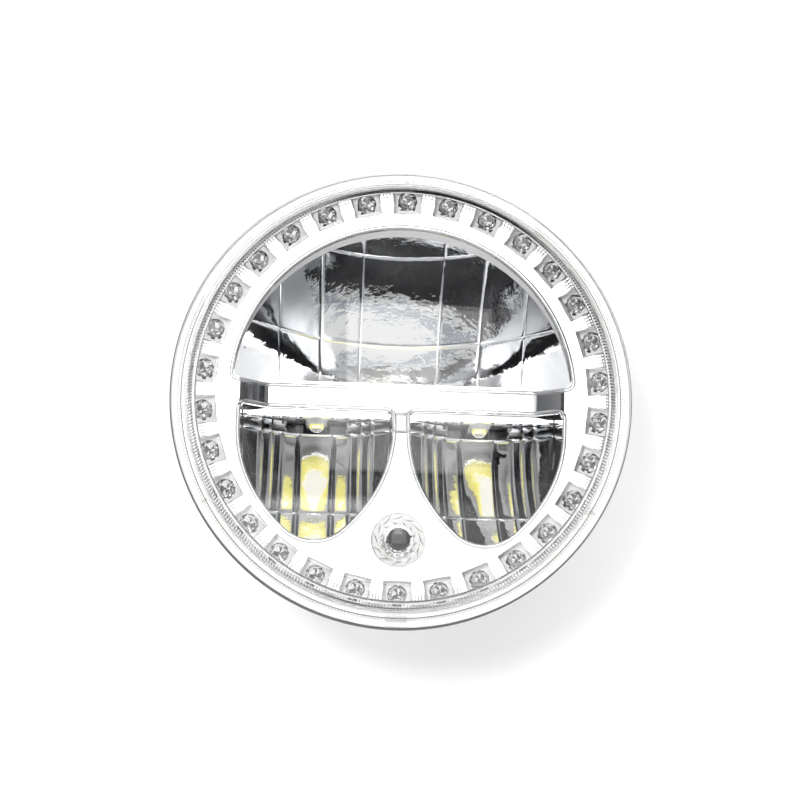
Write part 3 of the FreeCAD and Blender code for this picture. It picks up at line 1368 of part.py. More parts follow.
def thermal_pads(lamp):
    """Soft pads between the main LED boards and the plate."""
    s = lamp.sheet
    pads = []
    half = float(s.board_width) / 2
    front = float(s.board_front)
    back = float(s.board_back)
    for _, centre, side in board_centres(s):
        levels = sorted((side * float(s.plate_half), side * float(s.board_foot)))
        middle = float(centre)
        sheet = box(middle - half, middle + half, front, back, levels[0], levels[1])
        for across, depth in board_screw_places(s):
            bore = float(s.small_screw_radius + s.fit_clearance)
            place = Vector(across, depth, levels[0])
            sheet = sheet.cut(Part.makeCylinder(bore, levels[1] - levels[0], place, UPWARD))
        pads.append(sheet)
    lamp.feature("thermal_pads", Part.makeCompound(pads))


def main_leds(lamp):
    """The three main LEDs, each a square base with a clear dome, at the focus of its reflector."""
    s = lamp.sheet
    half = float(s.led_side) / 2
    for name, centre, side in board_centres(s):
        depth = float(s.upper_focus if side > 0 else s.lower_focus)
        level = float(s.board_top)
        top = level + float(s.led_base)
        levels = sorted((side * level, side * top))
        middle = float(centre)
        base = box(middle - half, middle + half, depth - half, depth + half, levels[0], levels[1])
        place = Vector(middle, depth, side * top)
        dome = Part.makeSphere(float(s.led_dome_radius), place, UPWARD * side, 0, 90, 360)
        lamp.feature(f"{name}_led", base.fuse(dome).removeSplitter())


def strap(points, thickness, left, right):
    """A flat ribbon through (depth, height) points, bent at each with mitred corners."""
    offsets = []
    for index, point in enumerate(points):
        before = points[index - 1] if index > 0 else None
        after = points[index + 1] if index + 1 < len(points) else None
        runs = []
        if before is not None:
            runs.append(Vector(point[0] - before[0], point[1] - before[1], 0).normalize())
        if after is not None:
            runs.append(Vector(after[0] - point[0], after[1] - point[1], 0).normalize())
        normals = [Vector(-run.y, run.x, 0) for run in runs]
        middle = normals[0] if len(normals) == 1 else normals[0].add(normals[1]).normalize()
        stretch = 1 / middle.dot(normals[0])
        offsets.append(Vector(middle).multiply(stretch * thickness / 2))
    near = [Vector(left, p[0] + o.x, p[1] + o.y) for p, o in zip(points, offsets)]
    far = [Vector(left, p[0] - o.x, p[1] - o.y) for p, o in zip(points, offsets)]
    loop = near + far[::-1]
    return Part.Face(Part.makePolygon(loop + loop[:1])).extrude(Vector(right - left, 0, 0))


def ribbons(lamp):
    """Flat cables from each board to its socket on the driver board."""
    s = lamp.sheet
    thickness = float(s.ribbon_thickness)
    half = float(s.ribbon_width) / 2
    socket = float(s.driver_front - s.socket_depth)
    board_back = float(s.board_back)
    for name, centre, side in board_centres(s):
        level = side * float(s.ribbon_height)
        start = board_back - float(s.ribbon_lap)
        level_points = [(start, level), (socket, level)]
        middle = float(centre)
        lamp.feature(f"{name}_ribbon", strap(level_points, thickness, middle - half, middle + half))
    offset = float(s.long_ribbon_offset)
    half = float(s.long_ribbon_width) / 2
    window = -float(s.ring_window_drop)
    half_gap = float(s.ribbon_spacing) / 2
    outer = -float(s.ring_radius)
    bend = outer + float(s.ring_ribbon_rise)
    waist = -float(s.bowl_waist_radius - s.ribbon_wall_gap)
    ring_level = float(s.shelf) + thickness / 2
    ring_route = [
        (ring_level, outer),
        (ring_level, bend),
        (float(s.bowl_shoulder_depth) / 2, 2 * bend - outer),
        (float(s.bowl_waist_depth), waist),
        (float(s.plate_back), window - half_gap),
        (socket, window - half_gap),
    ]
    can_level = position_can_back(s) + thickness / 2
    drop = -float(s.position_drop)
    lap = float(s.ribbon_lap)
    position_route = [
        (can_level, drop - lap),
        (can_level, drop + lap),
        (float(s.bowl_shoulder_depth), drop + lap),
        (float(s.bowl_waist_depth), waist + lap),
        (float(s.plate_back), window + half_gap),
        (socket, window + half_gap),
    ]
    lamp.feature("ring_ribbon", strap(ring_route, thickness, -offset - half, -offset + half))
    lamp.feature("position_ribbon", strap(position_route, thickness, offset - half, offset + half))


def position_can_back(s):
    """Back of the light can behind the position optic."""
    return float(s.bezel_back + s.reflector_gap / 2 + s.position_flange + s.can_depth + s.can_wall)


def position_light(lamp):
    """Cut-glass position optic in the bezel with its can, board and LED."""
    s = lamp.sheet
    drop = -float(s.position_drop)
    radius = float(s.position_bore_radius - s.position_clearance)
    flange_front = float(s.bezel_back + s.reflector_gap / 2)
    flange_back = flange_front + float(s.position_flange)
    flange_radius = radius + float(s.can_wall)
    face = float(s.bezel_face)
    rings = [
        (radius, flange_front),
        (radius, face - float(s.position_girdle)),
        (float(s.position_table_radius), face - float(s.position_crown)),
    ]
    stone = gem(int(float(s.position_sides)), rings, flat_front=True)
    flange = disc(flange_radius, flange_front, flange_back)
    table = face - float(s.position_crown)
    pip_rise = float(s.position_pip_rise)
    pip_radius = float(s.position_pip_radius)
    sphere_radius = (pip_radius * pip_radius + pip_rise * pip_rise) / (2 * pip_rise)
    ball = Part.makeSphere(sphere_radius, Vector(0, table - pip_rise + sphere_radius, 0))
    pip = ball.common(disc(2 * pip_radius, table - 2 * pip_rise, table + pip_rise))
    optic = stone.fuse([flange, pip]).removeSplitter()
    optic.translate(UPWARD * drop)
    lamp.feature("position_optic", optic)
    wall = float(s.can_wall)
    can_back = position_can_back(s)
    floor = can_back - wall
    can = spun([
        (flange_radius, flange_back),
        (flange_radius, can_back),
        (0.0, can_back),
        (0.0, floor),
        (flange_radius - wall, floor),
        (flange_radius - wall, flange_back),
    ])
    can.translate(UPWARD * drop)
    lamp.feature("position_can", can)
    board_front = floor - float(s.circuit_thickness)
    board = disc(flange_radius - wall - float(s.fit_clearance), board_front, floor, 0, drop)
    lamp.feature("position_board", board)
    half = float(s.ring_led_width) / 2
    chip_front = board_front - float(s.ring_led_thickness)
    chip = box(-half, half, chip_front, board_front, drop - half, drop + half)
    lamp.feature("position_led", chip)


def driver(lamp):
    """Round driver board on the casting's standoffs, with its parts on either side."""
    s = lamp.sheet
    body = lamp.body("driver_board")
    sketch = sketch_facing(body, "outline", s.driver_front)
    circle(sketch, 0, 0, s.driver_board_radius)
    for across in (-s.standoff_reach, s.standoff_reach):
        for up in (-s.standoff_reach, s.standoff_reach):
            circle(sketch, across, up, s.middle_screw_radius + s.fit_clearance)
    pad(body, sketch, "sheet", s.circuit_thickness, backward=True)
    front = float(s.driver_front)
    back = float(s.driver_back)
    half_width = float(s.socket_width) / 2
    half_height = float(s.socket_height) / 2
    depth = float(s.socket_depth)
    sockets = []
    places = [(float(across), float(up)) for across, up in ribbon_places(s)]
    places.append((0.0, -float(s.ring_window_drop)))
    for across, up in places:
        left = across - half_width
        low = up - half_height
        sockets.append(box(left, left + 2 * half_width, front - depth, front, low, low + 2 * half_height))
    lamp.feature("ribbon_sockets", Part.makeCompound(sockets))
    choke_radius = float(s.choke_radius)
    choke = disc(choke_radius, back, back + float(s.choke_height), *CHOKE_PLACE)
    core = disc(choke_radius / 2, back, back + float(s.choke_height), *CHOKE_PLACE)
    lamp.feature("driver_choke", choke.cut(core))
    caps = []
    for across, up in CAPACITOR_PLACES:
        caps.append(disc(float(s.capacitor_radius), back, back + float(s.capacitor_height), across, up))
    lamp.feature("driver_capacitors", Part.makeCompound(caps))
    chips = []
    for across, up, width, height in CHIP_PLACES:
        chips.append(box(across, across + width, back, back + float(s.chip_height), up, up + height))
    lamp.feature("driver_chips", Part.makeCompound(chips))
    half = float(s.terminal_half_width)
    low = -float(s.terminal_drop)
    high = low + float(s.terminal_rise)
    lamp.feature("supply_terminal", box(-half, half, back, back + float(s.terminal_height), low, high))


def back_cover(lamp):
    """Round cover over the driver chamber, with a raised middle and six screw lobes."""
    s = lamp.sheet
    body = lamp.body("back_cover")
    sketch = sketch_facing(body, "outline", s.cover_front)
    circle(sketch, 0, 0, s.collar_radius)
    pad(body, sketch, "sheet", s.cover_thickness, backward=True)
    lobe_sketch = sketch_facing(body, "lobe_outline", s.cover_front)
    circle(lobe_sketch, ZERO, s.cover_screw_radius, s.cover_boss_radius)
    lobe = pad(body, lobe_sketch, "lobe", s.cover_thickness, backward=True)
    around(body, [lobe], "lobes_round", s.cover_screw_count)
    raised = sketch_facing(body, "panel_outline", s.cover_back - s.cover_thickness / 2)
    circle(raised, 0, 0, s.cover_panel_radius)
    pad(body, raised, "panel", s.cover_panel_rise + s.cover_thickness / 2, backward=True)
    bores = sketch_facing(body, "bores", s.cover_front)
    circle(bores, ZERO, -s.gland_drop, s.gland_thread_radius + s.fit_clearance)
    circle(bores, ZERO, s.vent_rise, s.vent_stem_radius + s.fit_clearance)
    pocket(body, bores, "bores_cut")
    hole_sketch = sketch_facing(body, "screw_hole", s.cover_front)
    circle(hole_sketch, ZERO, s.cover_screw_radius, s.middle_screw_radius + s.fit_clearance)
    hole = pocket(body, hole_sketch, "screw_hole_cut")
    around(body, [hole], "screw_holes_round", s.cover_screw_count)


def cover_gasket(lamp):
    """Rubber gasket on the collar, with an eye round each cover screw."""
    s = lamp.sheet
    body = lamp.body("cover_gasket")
    ring = sketch_facing(body, "ring", s.collar_back)
    circle(ring, 0, 0, s.collar_radius)
    circle(ring, 0, 0, s.collar_radius - s.collar_wall)
    pad(body, ring, "sheet", s.gasket_thickness, backward=True)
    eye_sketch = sketch_facing(body, "eye", s.collar_back)
    circle(eye_sketch, ZERO, s.cover_screw_radius, s.cover_boss_radius)
    eye = pad(body, eye_sketch, "eye_sheet", s.gasket_thickness, backward=True)
    around(body, [eye], "eyes_round", s.cover_screw_count)
    hole_sketch = sketch_facing(body, "screw_hole", s.collar_back)
    circle(hole_sketch, ZERO, s.cover_screw_radius, s.middle_screw_radius + s.fit_clearance)
    hole = pocket(body, hole_sketch, "screw_hole_cut")
    around(body, [hole], "screw_holes_round", s.cover_screw_count)


def cable_gland(lamp):
    """Cable gland in the back cover: body, locknut, rubber seal and cap. Its cable is left out."""
    s = lamp.sheet
    drop = -s.gland_drop
    seat = s.panel_back
    body = lamp.body("gland_body")
    hex_sketch = sketch_facing(body, "hexagon", seat)
    hexagon(hex_sketch, ZERO, drop, s.gland_flats)
    pad(body, hex_sketch, "head", s.gland_hex_thickness, backward=True)
    shank_sketch = sketch_facing(body, "shank_outline", seat - s.gland_shank)
    circle(shank_sketch, ZERO, drop, s.gland_thread_radius)
    length = s.gland_shank + s.gland_hex_thickness + s.gland_neck
    pad(body, shank_sketch, "shank", length, backward=True)
    bore_sketch = sketch_facing(body, "bore_outline", seat)
    circle(bore_sketch, ZERO, drop, s.cable_radius + s.gland_bore_gap)
    pocket(body, bore_sketch, "bore")
    hex_back = seat + s.gland_hex_thickness
    nut = lamp.body("gland_locknut")
    nut_sketch = sketch_facing(nut, "hexagon", s.cover_front - s.locknut_thickness)
    hexagon(nut_sketch, ZERO, drop, s.gland_flats)
    circle(nut_sketch, ZERO, drop, s.gland_thread_radius + s.fit_clearance)
    pad(nut, nut_sketch, "sheet", s.locknut_thickness, backward=True)
    neck_back = float(hex_back + s.gland_neck)
    cap_front = float(hex_back + s.gland_cap_gap)
    cap_back = cap_front + float(s.gland_cap_length)
    cap_radius = float(s.gland_cap_radius)
    thread = float(s.gland_thread_radius + s.fit_clearance)
    cable = float(s.cable_radius)
    edge = float(s.gland_lip)
    mouth = cable + float(s.gland_mouth)
    seal_radius = thread - float(s.gland_seal_gap)
    cap = spun([
        (cap_radius, cap_front),
        (cap_radius, cap_back - edge),
        (cap_radius - edge, cap_back),
        (mouth, cap_back),
        (mouth, cap_back - edge),
        (thread, cap_back - edge),
        (thread, cap_front),
    ])
    seal = spun([
        (seal_radius, neck_back),
        (seal_radius, cap_back - edge),
        (cable, cap_back - edge),
        (cable, neck_back),
    ])
    for name, shape in (("gland_cap", cap), ("gland_seal", seal)):
        shape.translate(UPWARD * float(drop))
        lamp.feature(name, shape)


def vent_plug(lamp):
    """Breather in the back cover: a stem through the cover under a round cap."""
    s = lamp.sheet
    seat = float(s.panel_back)
    radius = float(s.vent_radius)
    stem = float(s.vent_stem_radius)
    tail = float(s.cover_front - s.vent_tail)
    head = seat + float(s.vent_head)
    chamfer = float(s.vent_chamfer)
    plug = spun([
        (0.0, tail),
        (stem, tail),
        (stem, seat),
        (radius, seat),
        (radius, head - chamfer),
        (radius - chamfer, head),
        (0.0, head),
    ])
    plug.translate(UPWARD * float(s.vent_rise))
    lamp.feature("vent_plug", plug)


def screw(shank_radius, length, place, direction):
    """A pan-head screw with a hexagon recess; its thread is left plain. The head starts at place."""
    head_radius = HEAD_RADIUS * shank_radius
    head_height = HEAD_HEIGHT * shank_radius
    shank = Part.makeCylinder(shank_radius, length, Vector(0, 0, 0), UPWARD)
    head = Part.makeCylinder(head_radius, head_height, Vector(0, 0, -head_height), UPWARD)
    rim = [edge for edge in head.Edges if edge.BoundBox.ZMax < -head_height / 2]
    head = head.makeFillet(head_height * HEAD_ROUND, rim)
    reach = RECESS_RADIUS * shank_radius
    corners = [Vector(*at_clock(reach, angle), -head_height) for angle in round_angles(6)]
    recess = Part.Face(Part.makePolygon(corners + corners[:1]))
    recess = recess.extrude(UPWARD * (RECESS_DEPTH * head_height))
    fastener = shank.fuse(head).cut(recess).removeSplitter()
    fastener.Placement = Placement(place, Rotation(UPWARD, direction))
    return fastener


def screws(lamp):
    """Groups of identical screws, one group for each job."""
    s = lamp.sheet
    small = float(s.small_screw_radius)
    middle = float(s.middle_screw_radius)
    large = float(s.large_screw_radius)
    short = float(s.small_screw_length)
    medium = float(s.middle_screw_length)
    long = float(s.large_screw_length)
    cover = []
    for angle in round_angles(int(float(s.cover_screw_count))):
        across, up = at_clock(float(s.cover_screw_radius), angle)
        cover.append(screw(middle, medium, Vector(across, float(s.cover_back), up), -BACKWARD))
    lamp.feature("cover_screws", Part.makeCompound(cover))
    plate = []
    for across, up in plate_screw_places(s):
        place = Vector(float(across), float(s.plate_back), float(up))
        plate.append(screw(large, long, place, BACKWARD))
    lamp.feature("plate_screws", Part.makeCompound(plate))
    seats = []
    reach = float(s.standoff_reach)
    for across in (-reach, reach):
        for up in (-reach, reach):
            place = Vector(across, float(s.driver_back), up)
            seats.append(screw(middle, float(s.driver_screw_length), place, -BACKWARD))
    lamp.feature("driver_screws", Part.makeCompound(seats))
    bezel_fasteners = []
    for across, up in bezel_boss_places(s):
        place = Vector(across, boss_back(s) + float(s.reflector_wall), up)
        bezel_fasteners.append(screw(small, short, place, -BACKWARD))
    lamp.feature("bezel_screws", Part.makeCompound(bezel_fasteners))
    foot = float(s.plate_half + s.reflector_gap + s.ear_thickness)
    reflector = []
    for side in (-1, 1):
        across, depth = upper_ear_place(s, side)
        reflector.append(screw(middle, medium, Vector(across, depth, foot), -UPWARD))
        across, depth = lower_ear_place(s, side)
        reflector.append(screw(middle, medium, Vector(across, depth, -foot), UPWARD))
    lamp.feature("reflector_screws", Part.makeCompound(reflector))
    board = []
    level = float(s.board_top)
    for index, (across, depth) in enumerate(board_screw_places(s)):
        side = 1 if index in (2, 3) else -1
        board.append(screw(small, short, Vector(across, depth, side * level), -UPWARD * side))
    lamp.feature("board_screws", Part.makeCompound(board))


def check(lamp):
    """Stops the build if an object failed or a piece is not a sound solid."""
    lamp.doc.recompute()
    for item in lamp.doc.Objects:
        if "Invalid" in item.State or "Error" in item.State:
            raise RuntimeError(f"{item.Name} failed: {item.State}")
    for piece in lamp.pieces:
        if piece.Shape.isNull() or not piece.Shape.isValid() or not piece.Shape.Solids:
            raise RuntimeError(f"{piece.Label} is not a sound solid")


def write(lamp):
    """Writes each piece to a file with its own name."""
    os.makedirs("parts", exist_ok=True)
    for piece in lamp.pieces:
        piece.Shape.exportStep(f"parts/{piece.Label}.step")
        print(piece.Label, len(piece.Shape.Solids), round(piece.Shape.Volume, 1))


lamp = Lamp()
lens(lamp)
lens_seal(lamp)
housing(lamp)
ring_board(lamp)
ring_leds(lamp)
ring_optics(lamp)
bezel(lamp)
upper_reflector(lamp)
lower_reflector(lamp, "lower_left_reflector", -1)
lower_reflector(lamp, "lower_right_reflector", 1)
led_plate(lamp)
led_boards(lamp)
thermal_pads(lamp)
main_leds(lamp)
ribbons(lamp)
position_light(lamp)
driver(lamp)
back_cover(lamp)
cover_gasket(lamp)
cable_gland(lamp)
vent_plug(lamp)
screws(lamp)
check(lamp)
write(lamp)
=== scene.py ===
import bmesh
import bpy
import math
from mathutils import Matrix, Vector


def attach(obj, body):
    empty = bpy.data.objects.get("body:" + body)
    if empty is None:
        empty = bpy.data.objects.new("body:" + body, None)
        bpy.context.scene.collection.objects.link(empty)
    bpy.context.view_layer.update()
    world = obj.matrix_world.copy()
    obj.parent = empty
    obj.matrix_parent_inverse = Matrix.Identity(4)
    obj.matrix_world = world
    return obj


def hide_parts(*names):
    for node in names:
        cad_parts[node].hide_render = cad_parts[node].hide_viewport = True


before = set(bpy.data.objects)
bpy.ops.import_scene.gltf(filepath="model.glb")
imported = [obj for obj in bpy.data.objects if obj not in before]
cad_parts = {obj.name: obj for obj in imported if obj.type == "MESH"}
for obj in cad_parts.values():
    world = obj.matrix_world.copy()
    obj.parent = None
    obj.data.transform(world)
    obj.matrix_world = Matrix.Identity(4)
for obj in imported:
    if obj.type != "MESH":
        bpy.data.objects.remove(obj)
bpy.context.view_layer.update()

# Housing
# A die-cast aluminium bowl with upright fins, left bright, with painted shade on the outer side of its
# rim. The lens is glued on its front face, and the lamp is clamped by this rim.
MM = 0.001
RIM_FACE = -4.0 * MM
TURNED_DEPTH = 2.5 * MM
SHADED_EDGE_RADIUS = 88.3 * MM
SHADED_EDGE_MIDDLE = -2.1 * MM
SHADED_EDGE_HALF = 2.3 * MM


def new_material(name):
    """A material with its Principled shader, ready for more nodes."""
    material = bpy.data.materials.new(name)
    material.use_nodes = True
    tree = material.node_tree
    return material, tree, tree.nodes["Principled BSDF"]


def add(tree, kind, **values):
    """Adds a shader node; its inputs are set or linked by name, with spaces written as underscores."""
    node = tree.nodes.new(kind)
    for key, value in values.items():
        if hasattr(node, key):
            setattr(node, key, value)
            continue
        numbered = key[0] == "i" and key[1:].isdigit()
        socket = node.inputs[int(key[1:]) if numbered else key.replace("_", " ")]
        if isinstance(value, bpy.types.NodeSocket):
            tree.links.new(value, socket)
        else:
            socket.default_value = value
    return node


def maths(tree, operation, *values):
    """The result of a maths node on its values, in order."""
    inputs = {f"i{number}": value for number, value in enumerate(values)}
    return add(tree, "ShaderNodeMath", operation=operation, **inputs).outputs[0]


def mix(tree, share, first, second, kind="RGBA"):
    """Two colours, or two values of the kind FLOAT, mixed by a share."""
    start, end = (6, 2) if kind == "RGBA" else (2, 0)
    ends = {f"i{start}": first, f"i{start + 1}": second}
    return add(tree, "ShaderNodeMix", data_type=kind, i0=share, **ends).outputs[end]


def axis_parts(tree):
    """The object coordinates one by one, and the distance from the lamp's axis."""
    place = add(tree, "ShaderNodeTexCoord").outputs["Object"]
    flat = add(tree, "ShaderNodeVectorMath", operation="MULTIPLY", i0=place, i1=(1.0, 0.0, 1.0)).outputs[0]
    reach = add(tree, "ShaderNodeVectorMath", operation="LENGTH", i0=flat).outputs["Value"]
    return add(tree, "ShaderNodeSeparateXYZ", Vector=place).outputs, reach


def new_group(name, inputs, outputs):
    """A shader node group with float inputs (name, default) and float outputs."""
    group = bpy.data.node_groups.new(name, "ShaderNodeTree")
    for label, value in inputs:
        socket = group.interface.new_socket(label, in_out="INPUT", socket_type="NodeSocketFloat")
        socket.default_value = value
    for label in outputs:
        group.interface.new_socket(label, in_out="OUTPUT", socket_type="NodeSocketFloat")
    return group, group.nodes.new("NodeGroupInput"), group.nodes.new("NodeGroupOutput")


def moulded_grain():
    """Fine skin and broad clouds of a cast, moulded or painted surface, as masks and one height."""
    scales = [("Fine scale", 1500.0), ("Broad scale", 60.0), ("Fine height", 0.5)]
    group, start, end = new_group("moulded grain", scales, ["Fine", "Broad", "Height"])
    place = add(group, "ShaderNodeTexCoord").outputs["Object"]
    fine = add(group, "ShaderNodeTexNoise", Vector=place, Scale=start.outputs["Fine scale"], Detail=3.0)
    broad = add(group, "ShaderNodeTexNoise", Vector=place, Scale=start.outputs["Broad scale"], Detail=4.0)
    height = mix(group, start.outputs["Fine height"], broad.outputs["Fac"], fine.outputs["Fac"], "FLOAT")
    for name, value in (("Fine", fine.outputs["Fac"]), ("Broad", broad.outputs["Fac"]), ("Height", height)):
        group.links.new(value, end.inputs[name])
    return group


def turned_marks():
    """Fine rings that a lathe leaves round the lamp's axis, as a mask."""
    group, start, end = new_group("turned marks", [("Scale", 4000.0)], ["Rings"])
    noise = add(group, "ShaderNodeTexNoise", noise_dimensions="1D", W=axis_parts(group)[1],
                Scale=start.outputs["Scale"], Detail=2.0)
    group.links.new(noise.outputs["Fac"], end.inputs["Rings"])
    return group


GRAIN = moulded_grain()
MARKS = turned_marks()


def grain(tree, fine, broad, height):
    """Places the grain group with its own scales."""
    scales = {"Fine_scale": fine, "Broad_scale": broad, "Fine_height": height}
    return add(tree, "ShaderNodeGroup", node_tree=GRAIN, **scales)


def ramp(tree, value, stops):
    """A colour over a value, from two (position, colour) stops."""
    node = add(tree, "ShaderNodeValToRGB", Fac=value)
    for element, (place, colour) in zip(node.color_ramp.elements, stops):
        element.position = place
        element.color = (*colour, 1.0)
    return node.outputs[0]


def spread(tree, value, low, high):
    """A value from 0 to 1 brought between two others."""
    return add(tree, "ShaderNodeMapRange", Value=value, To_Min=low, To_Max=high).outputs[0]


def bump(tree, height, strength, distance):
    """A bump from a height, with its distance in metres."""
    return add(tree, "ShaderNodeBump", Height=height, Strength=strength, Distance=distance).outputs[0]


def feed(tree, **sources):
    """Links values to the shader's inputs, named with underscores for spaces."""
    shader = tree.nodes["Principled BSDF"]
    for name, source in sources.items():
        tree.links.new(source, shader.inputs[name.replace("_", " ")])


def shades(tree, value, dark, pale):
    """A colour between two, over the middle of a mask."""
    return ramp(tree, value, [(0.3, dark), (0.7, pale)])


def grained(name, dark, pale, rough, grains=(2200.0, 110.0, 0.6), relief=(0.2, 0.06), metallic=0.0):
    """A skin between two tints and two roughnesses; relief is the bump's strength and its depth in mm."""
    material, tree, shader = new_material(name)
    skin = grain(tree, *grains)
    shader.inputs["Metallic"].default_value = metallic
    feed(tree, Base_Color=shades(tree, skin.outputs["Broad"], dark, pale),
         Roughness=spread(tree, skin.outputs["Fine"], *rough),
         Normal=bump(tree, skin.outputs["Height"], relief[0], relief[1] * MM))
    return material


def overlay(tree, mask, name, top):
    """Lays a colour or value over what feeds an input of the shader, where a mask is 1."""
    target = tree.nodes["Principled BSDF"].inputs[name]
    kind = "RGBA" if name == "Base Color" else "FLOAT"
    tree.links.new(mix(tree, mask, target.links[0].from_socket, top, kind), target)


def cast_aluminium():
    material = grained("bright cast aluminium", (0.66, 0.67, 0.68), (0.80, 0.81, 0.82), (0.28, 0.44),
                       grains=(1600.0, 50.0, 0.7), relief=(0.25, 0.08))
    tree = material.node_tree
    parts, reach = axis_parts(tree)
    turned_end = RIM_FACE + TURNED_DEPTH
    turned = add(tree, "ShaderNodeMapRange", Value=parts["Y"], From_Min=turned_end,
                 From_Max=turned_end + 0.3 * MM, To_Min=1.0, To_Max=0.0).outputs[0]
    rings = add(tree, "ShaderNodeGroup", node_tree=MARKS, Scale=5000.0).outputs["Rings"]
    # Painted shade: the outer side of the rim is made near-black, rough and not metallic.
    edge = maths(tree, "MULTIPLY", maths(tree, "GREATER_THAN", reach, SHADED_EDGE_RADIUS),
                 maths(tree, "COMPARE", parts["Y"], SHADED_EDGE_MIDDLE, SHADED_EDGE_HALF))
    overlay(tree, turned, "Base Color", shades(tree, rings, (0.86, 0.86, 0.86), (0.90, 0.90, 0.90)))
    overlay(tree, edge, "Base Color", (0.10, 0.098, 0.095, 1.0))
    overlay(tree, turned, "Roughness", spread(tree, rings, 0.34, 0.40))
    overlay(tree, edge, "Roughness", 0.7)
    feed(tree, Metallic=maths(tree, "SUBTRACT", 1.0, edge))
    return material


def dress(material, *nodes):
    """Gives CAD nodes their material."""
    for node in nodes:
        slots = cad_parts[node].data.materials
        slots.clear()
        slots.append(material)


CASTING = cast_aluminium()
dress(CASTING, "housing")


# Sealant
# A bead of pale silicone under the lens's tongue, squeezed flat in the rim's groove. A thin darker
# line runs along its middle.
SEAM_RADIUS = 84.6 * MM
SEAM_HALF = 0.22 * MM


def silicone():
    material = grained("pale silicone", (0.86, 0.86, 0.85), (0.93, 0.93, 0.92), (0.35, 0.5),
                       grains=(2500.0, 120.0, 0.3), relief=(0.2, 0.1))
    tree = material.node_tree
    line = maths(tree, "COMPARE", axis_parts(tree)[1], SEAM_RADIUS, SEAM_HALF)
    overlay(tree, line, "Base Color", (0.10, 0.07, 0.055, 1.0))
    return material


dress(silicone(), "lens_seal")


# LED plate
# An extruded aluminium plate with an upright flange, bead-blasted, screwed to the bowl's floor. It
# carries the main LEDs and leads their heat to the fins.
ALUMINIUM = grained("blasted aluminium", (0.62, 0.63, 0.64), (0.74, 0.75, 0.76), (0.32, 0.5),
                    grains=(3000.0, 80.0, 0.8), relief=(0.3, 0.05), metallic=1.0)
dress(ALUMINIUM, "led_plate")


# Circuit boards
# Glass-fibre boards under white solder mask, screwed down over soft grey pads; tracks show faintly.
# Black stars round the ring's LEDs, and black fields and blue-grey bands by the main LEDs, are painted
# reflection, seen in the optics and mirrors in front. The driver's board is green.
STONES = 30
STONE_CIRCLE = 76.0 * MM
STAR_RADIUS = 2.2 * MM
STAR_HALF = 1.3 * MM
STAR_RAYS = 7.0


def solder_mask(name, dark, pale):
    material = grained(name, dark, pale, (0.22, 0.34), grains=(1800.0, 90.0, 0.4), relief=(0.15, 0.04))
    tree = material.node_tree
    place = add(tree, "ShaderNodeTexCoord").outputs["Object"]
    tracks = add(tree, "ShaderNodeTexBrick", Vector=place, Scale=260.0, Mortar_Size=0.03, Mortar_Smooth=0.4)
    height = tree.nodes["Principled BSDF"].inputs["Normal"].links[0].from_node.inputs["Height"]
    tree.links.new(maths(tree, "ADD", tracks.outputs["Fac"], height.links[0].from_socket), height)
    return material


WHITE_MASK = solder_mask("white solder mask", (0.87, 0.87, 0.86), (0.93, 0.93, 0.92))
dress(WHITE_MASK, "position_board")


def mask_copy_to_paint_on(name):
    """A copy of the white mask to paint on, its nodes, coordinates and distance from the axis."""
    material = WHITE_MASK.copy()
    material.name = name
    return material, material.node_tree, *axis_parts(material.node_tree)


def starred_mask():
    """The white mask of the ring with a black star painted round each of its thirty LEDs, as painted dark
    reflection for the optic in front of it.
    """
    material, tree, parts, reach = mask_copy_to_paint_on("white mask with painted dark stars")
    step = math.tau / STONES
    turn = maths(tree, "WRAP", maths(tree, "ARCTAN2", parts["X"], parts["Z"]), step / 2, -step / 2)
    aside = maths(tree, "MULTIPLY", turn, reach)
    beyond = maths(tree, "SUBTRACT", reach, STONE_CIRCLE)
    spot = add(tree, "ShaderNodeCombineXYZ", X=aside, Y=beyond, Z=0.0).outputs[0]
    away = add(tree, "ShaderNodeVectorMath", operation="LENGTH", i0=spot).outputs["Value"]
    ring = maths(tree, "COMPARE", away, STAR_RADIUS, STAR_HALF)
    wave = maths(tree, "SINE", maths(tree, "MULTIPLY", maths(tree, "ARCTAN2", aside, beyond), STAR_RAYS))
    black = maths(tree, "MULTIPLY", maths(tree, "GREATER_THAN", wave, -0.15), ring)
    # Painted reflection: the black star stands in for the dark facets seen in the optic in front.
    overlay(tree, black, "Base Color", (0.006, 0.006, 0.006, 1.0))
    return material


dress(starred_mask(), "ring_board")


def mask_with_painted_reflections(name, black, blue, strip=None):
    """The white mask with a black field and a blue-grey band painted as dark and blue-grey reflections for
    the mirrors, in mm of depth; a strip may stay white.
    """
    material, tree, parts, _ = mask_copy_to_paint_on(name)

    def inside(value, low, high):
        return maths(tree, "MULTIPLY", maths(tree, "GREATER_THAN", value, low * MM),
                     maths(tree, "LESS_THAN", value, high * MM))

    field = inside(parts["Y"], *black)
    if strip:
        bare = inside(maths(tree, "ABSOLUTE", parts["X"]), *strip)
        field = maths(tree, "MULTIPLY", field, maths(tree, "SUBTRACT", 1.0, bare))
    # Painted reflection: the black field and blue-grey band sit where the mirrors reflect them as dark and
    # blue-grey patches.
    overlay(tree, field, "Base Color", (0.01, 0.01, 0.011, 1.0))
    overlay(tree, inside(parts["Y"], *blue), "Base Color", (0.30, 0.34, 0.40, 1.0))
    return material


dress(mask_with_painted_reflections("upper mask with painted reflections", (11.4, 17.9), (18.5, 19.3)), "upper_led_board")
dress(mask_with_painted_reflections("lower mask with painted reflections", (19.0, 40.0), (17.5, 18.0), (28.2, 36.6)),
      "lower_left_led_board", "lower_right_led_board")
dress(solder_mask("green solder mask", (0.012, 0.12, 0.05), (0.02, 0.18, 0.08)), "driver_board")


